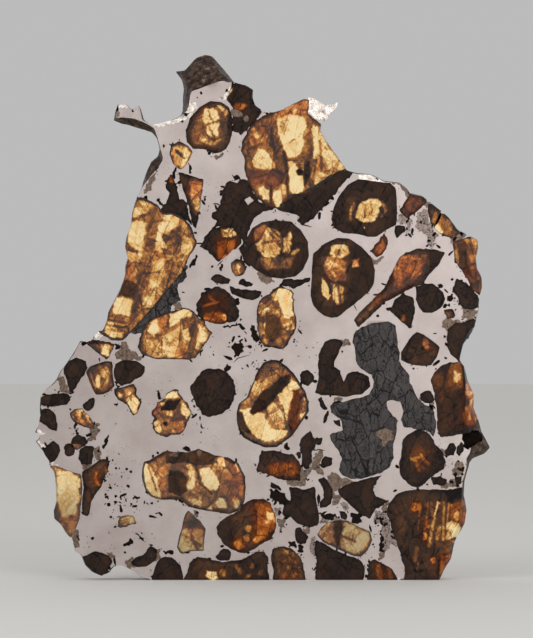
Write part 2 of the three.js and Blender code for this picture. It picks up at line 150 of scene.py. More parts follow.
def section(solid, depth):
    """The largest ring where the solid crosses the plane y = depth.

    Each triangle that crosses has one side that rises through the plane and one that falls. The side
    that falls in one triangle rises in its neighbour, so following them gives the ring in order.
    """
    corners, triangles = solid
    height = corners[:, 1] - depth
    sides = triangles[:, [[0, 1], [1, 2], [2, 0]]]
    above = height[sides] > 0
    rises = ~above[..., 0] & above[..., 1]
    falls = above[..., 0] & ~above[..., 1]
    crossing = rises.any(axis=1)
    key = len(corners)
    codes = []
    for picked_side in (rises, falls):
        ends = np.sort(sides[crossing][picked_side[crossing]], axis=1)
        codes.append(ends[:, 0] * key + ends[:, 1])
    follow = dict(zip(codes[0].tolist(), codes[1].tolist()))
    rings = []
    while follow:
        ring = [next(iter(follow))]
        while ring[-1] in follow:
            ring.append(follow.pop(ring[-1]))
        one, two = np.divmod(np.array(ring[:-1]), key)
        share = (height[one] / (height[one] - height[two]))[:, None]
        at = corners[one] + share * (corners[two] - corners[one])
        rings.append(at[:, [0, 2]])
    largest = max(rings, key=lambda ring: abs(area_of(ring)))
    return largest if area_of(largest) > 0 else largest[::-1]


def length_of(ring):
    """The length of a closed ring: the sum of the distances between its neighbours."""
    return np.sum(np.linalg.norm(np.roll(ring, -1, axis=0) - ring, axis=1))


def evened(ring, count):
    """The same closed ring as count points at equal steps along it."""
    closed = np.vstack([ring, ring[:1]])
    along = np.concatenate([[0], np.cumsum(np.linalg.norm(np.diff(closed, axis=0), axis=1))])
    wanted = np.linspace(0, along[-1], count, endpoint=False)
    return np.column_stack([np.interp(wanted, along, closed[:, axis]) for axis in (0, 1)])


def matched(ring, guide):
    """The ring rolled to start where it lies best on the guide, by circular correlation."""
    turn = np.array([1, 1j])
    one = np.fft.fft((guide - guide.mean(axis=0)) @ turn)
    two = np.fft.fft((ring - ring.mean(axis=0)) @ turn)
    return np.roll(ring, int(np.argmax(np.fft.ifft(one * np.conj(two)).real)), axis=0)


def softened(ring, radius):
    """The ring smoothed by a Gaussian of this radius in millimetres, which rounds its corners."""
    spread = radius * len(ring) / length_of(ring)
    falloff = np.exp(-2 * (np.pi * np.fft.fftfreq(len(ring)) * spread) ** 2)
    return np.fft.ifft(np.fft.fft(ring, axis=0) * falloff[:, None], axis=0).real


def outward(ring):
    """Unit normals of a ring that runs against the clock, pointing out of it."""
    run = np.roll(ring, -1, axis=0) - np.roll(ring, 1, axis=0)
    run = run / np.maximum(np.linalg.norm(run, axis=1), 1e-9)[:, None]
    return np.column_stack([run[:, 1], -run[:, 0]])


def untangled(ring, reach=12):
    """The ring without small loops: points between two sides that cross are spread on a straight line.

    Two sides cross where the ends of each lie on both hands of the other. The reach is how many points
    ahead of each side are looked at.
    """
    ring = ring.copy()
    count = len(ring)
    for gap in range(2, reach):
        first = ring
        second = np.roll(ring, -1, axis=0)
        third = np.roll(ring, -gap, axis=0)
        fourth = np.roll(ring, -gap - 1, axis=0)
        hands = [np.sign(np.cross(end - start, point - start)) for start, end, point in (
            (first, second, third), (first, second, fourth), (third, fourth, first), (third, fourth, second))]
        for index in np.flatnonzero((hands[0] * hands[1] < 0) & (hands[2] * hands[3] < 0)):
            share = np.linspace(0, 1, gap + 2)[:, None]
            place = (index + np.arange(gap + 2)) % count
            ring[place] = ring[place[0]] * (1 - share) + ring[place[-1]] * share
    return ring


def ragged(ring, layers, mean):
    """The ring pushed along its normals by layered noise less its mean, and freed of loops."""
    return untangled(ring + outward(ring) * (layered(ring, layers) - mean)[:, None])


# %% [markdown]
# A flat face is filled with small, even triangles so that stains can be stored at their corners. The
# inner points lie on a honeycomb, and a constrained Delaunay triangulation joins them to the ring.

# %% Filled faces and distances
def distance_to(points, line, closed=True):
    """Distance from each point to a chain of straight stretches."""
    start = line if closed else line[:-1]
    run = np.roll(line, -1, axis=0) - line if closed else np.diff(line, axis=0)
    reach = np.maximum((run * run).sum(axis=1), 1e-12)
    nearest = np.full(len(points), np.inf)
    for first, step, size in zip(start, run, reach):
        offset = points - first
        share = np.clip(offset @ step / size, 0, 1)
        gap = offset - share[:, None] * step
        nearest = np.minimum(nearest, np.hypot(gap[:, 0], gap[:, 1]))
    return nearest


def is_inside(points, ring):
    """True where a level line from the point crosses the ring an odd number of times."""
    inside = np.zeros(len(points), bool)
    for (x1, z1), (x2, z2) in zip(ring, np.roll(ring, -1, axis=0)):
        if z1 == z2:
            continue
        level = (points[:, 1] < z1) != (points[:, 1] < z2)
        inside ^= level & (points[:, 0] < x1 + (points[:, 1] - z1) * (x2 - x1) / (z2 - z1))
    return inside


def depth_inside(points, ring):
    """Distance to the ring, counted positive inside it and negative outside."""
    return np.where(is_inside(points, ring), 1, -1) * distance_to(points, ring)


fill_margin = 0.55  # share of the spacing that the inner points keep from the ring


def filled(ring, spacing):
    """Inner points of a face and its triangles: the ring's points come first, then the inner ones."""
    low, high = ring.min(axis=0), ring.max(axis=0)
    row_step = spacing * np.sqrt(3) / 2
    rows = np.arange(low[1], high[1], row_step)
    columns = np.arange(low[0], high[0], spacing)
    grid_x, grid_z = np.meshgrid(columns, rows)
    grid_x = grid_x + np.where(np.arange(len(rows)) % 2, spacing / 2, 0)[:, None]
    grid = np.column_stack([grid_x.ravel(), grid_z.ravel()])
    inner = grid[depth_inside(grid, ring) > fill_margin * spacing]
    points = np.vstack([ring, inner])
    sides = [(first, (first + 1) % len(ring)) for first in range(len(ring))]
    result = delaunay_2d_cdt([tuple(point) for point in points], sides, [], 0, 1e-7, True)
    source = np.array([origin[0] for origin in result[3]])
    triangles = source[np.array(result[2])]
    return inner, triangles[is_inside(points[triangles].mean(axis=1), ring)]


# %% Meshes
def loft(rings, depths, spacing=None):
    """Points and faces of a closed body through rings of equal count, from its front to its back.

    The wall has two triangles between each two neighbours. The end faces are filled with triangles of
    this spacing, or are single faces if there is none.
    """
    count = len(rings[0])
    points = [np.insert(ring, 1, depth, axis=1) for ring, depth in zip(rings, depths)]
    index = np.arange(count)
    after = (index + 1) % count
    faces = []
    for level in range(len(rings) - 1):
        near, far = level * count, (level + 1) * count
        faces.append(np.column_stack([near + index, far + index, far + after]))
        faces.append(np.column_stack([near + index, far + after, near + after]))
    faces = np.vstack(faces).tolist()
    total = count * len(rings)
    for level, turned in ((0, False), (len(rings) - 1, True)):
        if spacing is None:
            face = [(level * count + index)[::-1 if turned else 1].tolist()]
        else:
            inner, triangles = filled(rings[level], spacing)
            points.append(np.insert(inner, 1, depths[level], axis=1))
            place = np.concatenate([level * count + index, total + np.arange(len(inner))])
            total += len(inner)
            face = place[triangles][:, ::-1 if turned else 1].tolist()
        faces += face
    return np.vstack(points), faces


def new_object(name, points, faces, materials):
    """A mesh object at the origin, its points given in millimetres."""
    mesh = bpy.data.meshes.new(name)
    mesh.from_pydata(points / metre, [], faces)
    for material in materials:
        mesh.materials.append(material)
    return bpy.data.objects.new(name, mesh)


def add_values(mesh, name, values):
    """Stores one number at each corner point, for a material to read by name."""
    mesh.attributes.new(name, "FLOAT", "POINT").data.foreach_set("value", values.astype(np.float32))


# %% [markdown]
# The slab's broken edge is not one solid of its own in the frame, because the crystals at the rim take
# their bites out of it. So its outline is given here again, as the driving solid has it: the outline,
# and where the polished front face stops short of it.

# %% The slab's edge
# Clockwise from the left end of the sawn foot. A third number is how many pixels inside the outline
# the front face stops. Four numbers give the outline and then the place where the front face stops.
slab_edge = [
    (151, 580), (140, 578), (130, 570), (121, 566), (114, 568), (109, 574), (101, 577.5), (91, 573),
    (84, 566), (80, 556), (74, 552), (71, 540), (66, 536), (60, 526), (53, 519.5), (52.5, 511),
    (55, 500.5), (54.5, 485), (53, 472), (48, 467.5), (48, 462), (44, 455), (40, 449.5), (34, 441.5),
    (38.5, 438), (37, 434), (33.2, 433), (37, 426), (39, 416), (38.5, 406), (39.5, 396), (45, 389.5),
    (54, 381), (59, 371.5), (65, 363.5), (72, 353), (77, 345), (79, 340), (84, 341), (90, 339.5),
    (94, 334), (97, 330.5), (102, 330), (105.5, 320), (107, 312), (113, 300), (118.5, 290),
    (121.5, 282), (124, 274), (123.5, 266), (126.5, 258), (124, 247), (125.5, 237), (129, 225),
    (131, 212), (135, 199), (139.5, 190), (142, 181, 4), (145, 172, 7), (150, 161, 10), (157, 155, 7),
    (158.5, 149), (156, 138), (151, 132.5, 5), (142, 129.5, 7), (132, 126.5, 8), (121, 123.5, 6),
    (112.5, 120.5, 3), (114, 112), (117, 103), (127, 103.5), (131, 108.5), (139, 104.5), (141.5, 110),
    (144, 119), (152, 124), (165, 121), (176, 117), (181, 112, 186, 112), (182, 104, 189, 104),
    (182, 96, 189.5, 98), (183, 87, 190.5, 92), (181, 78, 194, 90), (174, 69.5, 198, 89),
    (184, 68.5, 202, 87.5), (189, 63, 206, 86), (196, 55.5, 210, 84.5), (205, 52.5, 214, 83),
    (212, 54, 218, 81.5), (221, 64.5, 223, 80.5), (230, 75, 228, 82), (236, 82), (246, 84), (254, 89),
    (253, 97), (256, 105), (263, 109.5), (273, 111.5), (282, 108.5), (292, 102.5), (303, 97.5),
    (309, 98), (315, 101.5), (325, 106), (334, 105), (338, 103), (336, 109.5), (329, 113.5),
    (323, 120), (321.5, 130), (328, 141), (337, 154), (348, 169.5), (357, 172), (371, 173),
    (385, 180), (400, 181.5), (407, 187), (411, 192), (424, 195), (433, 203), (443, 211), (450, 217),
    (459, 229), (468, 233), (479, 239), (479, 248), (476.5, 258), (478.5, 268), (483, 277),
    (483, 288), (480.5, 298), (480, 309), (476, 326), (472, 335, 4), (464.5, 344), (460.5, 360),
    (466, 366, 464, 366), (469, 380, 466, 382), (475.5, 395, 466, 396), (475, 408, 466, 408),
    (480, 420, 467, 420), (483, 432, 470, 432), (492, 448.5, 472, 445), (486, 455, 470, 453),
    (474, 459.5, 466.5, 459), (470, 467, 3), (466, 481, 3), (465, 495, 3), (468, 511, 6),
    (466, 524, 6), (456, 542, 5), (452, 560, 5), (445, 571, 5), (440, 580)]
edge_wear = 0.4  # mm that the polished faces stop short of the outline
least_wear = 0.3  # and the least of it, as a share
broadest_level = 0.45  # share of the thickness where the edge stands out most
sloped_share = 0.35  # where a sloped stretch stands out most, from the outline to the front face
least_spread = 0.5  # keeps the inward step at a sharp corner below twice the wear


def scatter(number):
    """A steady value from 0 to 1 for each number: the fraction of a large sine."""
    return (np.sin(number * 12.9898) * 43758.5453) % 1


def slab_rings():
    """The slab's front, broadest and rear rings, point for point as in the driving solid."""
    entries = slab_edge[::-1]
    outline = picked(entries)
    before = np.roll(outline, 1, axis=0)
    after = np.roll(outline, -1, axis=0)
    arriving = (outline - before) / np.linalg.norm(outline - before, axis=1)[:, None]
    leaving = (after - outline) / np.linalg.norm(after - outline, axis=1)[:, None]
    turn = np.column_stack([arriving[:, 1] + leaving[:, 1], -arriving[:, 0] - leaving[:, 0]])
    turn /= np.linalg.norm(turn, axis=1)[:, None]
    sideways = np.column_stack([arriving[:, 1], -arriving[:, 0]])
    spread = np.maximum(np.sum(turn * sideways, axis=1), least_spread)
    inward = -turn / spread[:, None]
    order = np.arange(len(entries))
    front = outline + inward * (edge_wear * (least_wear + scatter(order)))[:, None]
    back = outline + inward * (edge_wear * (least_wear + scatter(order + 0.5)))[:, None]
    broadest = outline.copy()
    for index, entry in enumerate(entries):
        if len(entry) == 3:
            front[index] = outline[index] + inward[index] * entry[2] / pixels_per_mm
        if len(entry) == 4:
            front[index] = picked([entry[2:]])[0]
            broadest[index] += sloped_share * (front[index] - outline[index])
            back[index] = outline[index]
    on_foot = outline[:, 1] < 1e-6
    for ring in (front, broadest, back):
        ring[on_foot, 1] = 0
    return front, broadest, back


edge_rings = slab_rings()


def slab_ring_at(depth):
    """The slab's straight-sided ring at a depth, between the three that drive it."""
    front, broadest, back = edge_rings
    level = (depth - front_depth) / thickness
    if level < broadest_level:
        return front + (broadest - front) * level / broadest_level
    return broadest + (back - broadest) * (level - broadest_level) / (1 - broadest_level)


rim_roughness = 0.34  # mm between the deepest and the highest places of the broken rim
rim_layers = ((0.5, 2.6, 1), (0.3, 1.1, 2), (0.2, 0.5, 3))  # weight, cell in mm and seed of each noise
least_rough = 0.45  # share of the roughness that is left at the polished faces


def worn_in(points, depth):
    """How far the broken rim lies inside its straight-sided form: layered noise, less at the faces."""
    level = (depth - front_depth) / thickness
    fullness = least_rough + (1 - least_rough) * np.sin(np.pi * np.clip(level, 0, 1))
    return rim_roughness * layered(np.insert(points, 1, depth, axis=1), rim_layers) * fullness


rim_step = 0.42  # mm between the slab's edge points
rim_easing = 0.3  # mm over which the corners of its outline are rounded
foot_band = 0.01  # mm above the foot within which a point is on the foot
slab_fill_step = 1.5  # mm between the points of its flat faces, which carry no stored values
depth_steps = 15
rim_counts = np.maximum(1, np.ceil(np.linalg.norm(
    np.roll(edge_rings[1], -1, axis=0) - edge_rings[1], axis=1) / rim_step)).astype(int)


def with_steps(ring, counts):
    """Each side of the ring parted in its own count of equal steps."""
    index = np.repeat(np.arange(len(ring)), counts)
    within = np.arange(counts.sum()) - np.repeat(np.cumsum(counts) - counts, counts)
    share = (within / np.repeat(counts, counts))[:, None]
    return ring[index] + (np.roll(ring, -1, axis=0)[index] - ring[index]) * share


def worn_slab_ring(depth):
    """The slab's ring at a depth with its corners eased and its edge worn, and its foot kept flat."""
    plain = with_steps(slab_ring_at(depth), rim_counts)
    on_foot = plain[:, 1] < foot_band
    eased = softened(plain, rim_easing)
    ring = eased - outward(eased) * worn_in(eased, depth)[:, None]
    ring[on_foot] = plain[on_foot]
    ring[:, 1] = np.maximum(ring[:, 1], 0)
    return untangled(ring)


slab_depths = front_depth + thickness * np.linspace(0, 1, depth_steps)
slab_points, slab_faces = loft([worn_slab_ring(depth) for depth in slab_depths], slab_depths, slab_fill_step)
print("slab edge points", rim_counts.sum(), "faces", len(slab_faces))

# %% [markdown]
# Every crystal sits in its own pocket. The solid of each crystal is cut at several depths, its rings
# are smoothed and roughened a little, and the same rings, grown by the gap, make the cutter for its
# pocket. Where a crystal reaches the slab's rim, its cutter is pushed well past the rim, so that no
# skin of metal is left over it.

# %% The crystals' shapes
crystal_growth = 0.06  # mm that a crystal grows beyond its solid, which was kept clear of the metal
pocket_gap = 0.09  # mm between a crystal and its pocket, filled by dark oxide on the real slice
ring_step = 0.24  # mm between points of a crystal's ring
fewest_points = 24  # of a crystal's ring at least
fill_step = 0.25  # mm between points of its faces
rim_reach = 1.2  # mm that a cutter is pushed past the slab's rim
over_reach = 0.8  # mm that a cutter goes past the polished faces
clear_ripple = 0.35  # mm of ripple on a clear crystal's outline
ragged_ripple = 0.9  # mm of it on a dark, broken one
clear_lean = 0.3  # share of a solid's narrowing that a clear crystal keeps, so its walls hide little
ripple_layers = ((0.5, 1.6, 5), (0.3, 0.7, 6), (0.2, 0.32, 7))  # weight, cell in mm and seed of each noise
ripple_mean = 0.65  # taken off the ripple, so that it breaks up an outline mostly inwards
ripple_depth_share = 0.35  # share of the depth that the ripple sees, so that it runs on along a wall
wall_levels = (0.0, 0.25, 0.45, 0.7, 1.0)  # shares of a solid's depth where it is cut
end_margin = 0.002  # mm inside the solid's ends that the first and last cut keep
corner_easing = 0.12  # mm over which a crystal's corners are rounded
rim_band = 0.13  # mm from the slab's rim within which a solid's ring follows the rim
through_margin = 0.05  # mm from the back within which a crystal goes right through
dark_depth_share = 0.999  # dark grains end a few thousandths of a millimetre under the polished metal
opaque_level = 0.26  # stored light below which a clear crystal takes the opaque dark finish, where it is too stained to see into and where painted shade darkens its border


def drawn_to(points, ring, count=3000):
    """The place on the ring nearest to each point, out of many even ones."""
    places = evened(ring, count)
    return places[np.linalg.norm(points[:, None] - places[None], axis=2).argmin(axis=1)]


def crystal_rings(node, ripple_reach, lean=1.0):
    """Rings of a crystal from front to back, their depths, and where each lies on the slab's rim.

    Noise of three sizes, as deep as the ripple's reach, breaks up the outline mostly inwards. The lean
    is the share of the solid's own narrowing that the walls keep: each point moves by this share of the
    way from its place in front, but points on the rim follow the rim.
    """
    solid = solid_of(node)
    nearest, farthest = solid[0][:, 1].min(), solid[0][:, 1].max()
    rings, depths, on_rim = [], [], []
    for level in wall_levels:
        depth = nearest + (farthest - nearest) * level
        cut = section(solid, np.clip(depth, nearest + end_margin, farthest - end_margin))
        if not rings:
            front_ring = evened(cut, max(fewest_points, int(length_of(cut) / ring_step)))
        ring = matched(evened(cut, len(front_ring)), front_ring)
        at_rim = distance_to(ring, slab_ring_at(depth)) < rim_band
        if lean < 1 and rings:
            ring = front_ring + (ring - front_ring) * lean
            at_rim = on_rim[0]
            ring[at_rim] = drawn_to(front_ring[at_rim], slab_ring_at(depth))
        on_foot = ring[:, 1] < foot_band
        ring = softened(ring, corner_easing)
        places = np.insert(ring, 1, ripple_depth_share * depth, axis=1)
        ripple = ripple_reach * (layered(places, ripple_layers) - ripple_mean)
        swell = np.where(at_rim, -worn_in(ring, depth), crystal_growth + ripple)
        ring = ring + outward(ring) * swell[:, None]
        ring[on_foot, 1] = 0
        ring[:, 1] = np.maximum(ring[:, 1], 0)
        rings.append(untangled(ring))
        depths.append(depth)
        on_rim.append(at_rim)
    return rings, depths, on_rim


def pocket_rings(rings, depths, on_rim):
    """The crystal's rings grown by the gap, pushed past the rim, and carried on past the slab's faces."""
    grown = []
    for ring, at_rim in zip(rings, on_rim):
        reach = np.where(at_rim | (ring[:, 1] < foot_band), rim_reach, pocket_gap)
        grown.append(untangled(ring + outward(ring) * reach[:, None]))
    through = depths[-1] > back_depth - through_margin
    last = depths[-1] + (over_reach if through else pocket_gap)
    grown = [grown[0]] + grown + [grown[-1]]
    return grown, [depths[0] - over_reach] + list(depths) + [last]


# %% [markdown]
# Olivine is clear, but these grains are cracked, rusty in their cracks and darker near the metal: their
# walls there are stained, and painted shade darkens their faces where the walls lean in.
# How much light a place lets through is stored on the mesh as one number, from 0 for black-brown to 1
# for pale cream, and rust as a second number. Each grain has a level for its middle, a darker border
# where its walls lean in, and marks: windows, veins and stains, which are placed.

# %% Marks on the crystals
spot_corners = 9


def area(level, points, soft=1.6):
    """A window or stain: outline in pixels, faded over a soft border."""
    return ("area", level, soft, picked(points))


def line(level, points, width=2.2):
    """A vein or crack of this width in pixels."""
    return ("line", level, width, picked(points))


def spot(level, left, top, right, bottom, soft=1.6):
    """An uneven patch that about fills a box, given by its sides in pixels.

    Its corners lie at equal turns around the box's middle, at 0.75 to 1.35 of the box's half sides.
    """
    turn = np.linspace(0, 2 * np.pi, spot_corners, endpoint=False)
    uneven = 0.75 + 0.6 * scatter(turn + left + top)
    columns = (left + right) / 2 + uneven * ((right - left) / 2) * np.cos(turn)
    rows = (top + bottom) / 2 + uneven * ((bottom - top) / 2) * np.sin(turn)
    return ("area", level, soft, picked(np.column_stack([columns, rows])))


def rust(strength, points, soft=4.0):
    """A place where the cracks are full of orange rust."""
    return ("rust", strength, soft, picked(points))


tones = {  # middle level, border level, border width in pixels; the border level is painted shade where the walls lean in
    "great_top": (0.46, 0.2, 5), "great_left": (0.64, 0.32, 3), "great_centre": (0.42, 0.1, 4),
    "great_lower_left": (0.42, 0.12, 5), "gold_hexagon_left": (0.64, 0.22, 4),
    "gold_flank_left": (0.6, 0.34, 4), "great_lower_centre": (0.24, 0.08, 6),
    "gold_lower_right": (0.72, 0.24, 3),
    "fractured_centre": (0.46, 0.16, 3), "ring_centre": (0.18, 0.1, 12), "ring_right": (0.14, 0.1, 9),
    "round_top_left": (0.34, 0.1, 7), "brown_flank_right": (0.19, 0.1, 8), "great_foot_right": (0.2, 0.1, 7),
    "red_lens": (0.27, 0.1, 4), "gold_flank_right": (0.32, 0.2, 3), "brown_centre_right": (0.22, 0.1, 6),
    "amber_left": (0.5, 0.15, 5), "tail_left": (0.42, 0.12, 4), "amber_lower_left": (0.84, 0.36, 3),
    "brown_grain_left": (0.46, 0.16, 3), "amber_grain_top_left": (0.76, 0.35, 3),
    "red_shard_top_left": (0.24, 0.06, 4), "amber_fleck_left": (0.8, 0.42, 2),
    "red_brown_centre_left": (0.16, 0.06, 4), "little_ring": (0.48, 0.12, 3),
    "amber_flank_upper_right": (0.4, 0.2, 3), "red_grain_upper_right": (0.28, 0.12, 3),
    "gold_foot_centre": (0.24, 0.1, 5), "brown_hexagon_centre": (0.14, 0.06, 5),
    "brown_wedge_left": (0.26, 0.08, 5), "glowing_dark_lower_right": (0.13, 0.06, 7),
    "brown_lozenge": (0.16, 0.08, 4), "brown_foot_left": (0.17, 0.08, 4), "brown_foot_right": (0.14, 0.06, 5),
    "rusty_quarter_right": (0.18, 0.08, 5)}
dark_tone = (0.1, 0.05, 4)
stained_grains_with_painted_glow = (  # so brown that they pass hardly any light, so they take the opaque finish; the glow where light shines through their paler windows is painted into their colour
    "brown_flank_right", "great_foot_right", "brown_foot_left", "brown_foot_right", "brown_lozenge",
    "great_lower_centre", "red_brown_centre_left", "glowing_dark_lower_right", "gold_foot_centre",
    "brown_wedge_left", "brown_hexagon_centre")
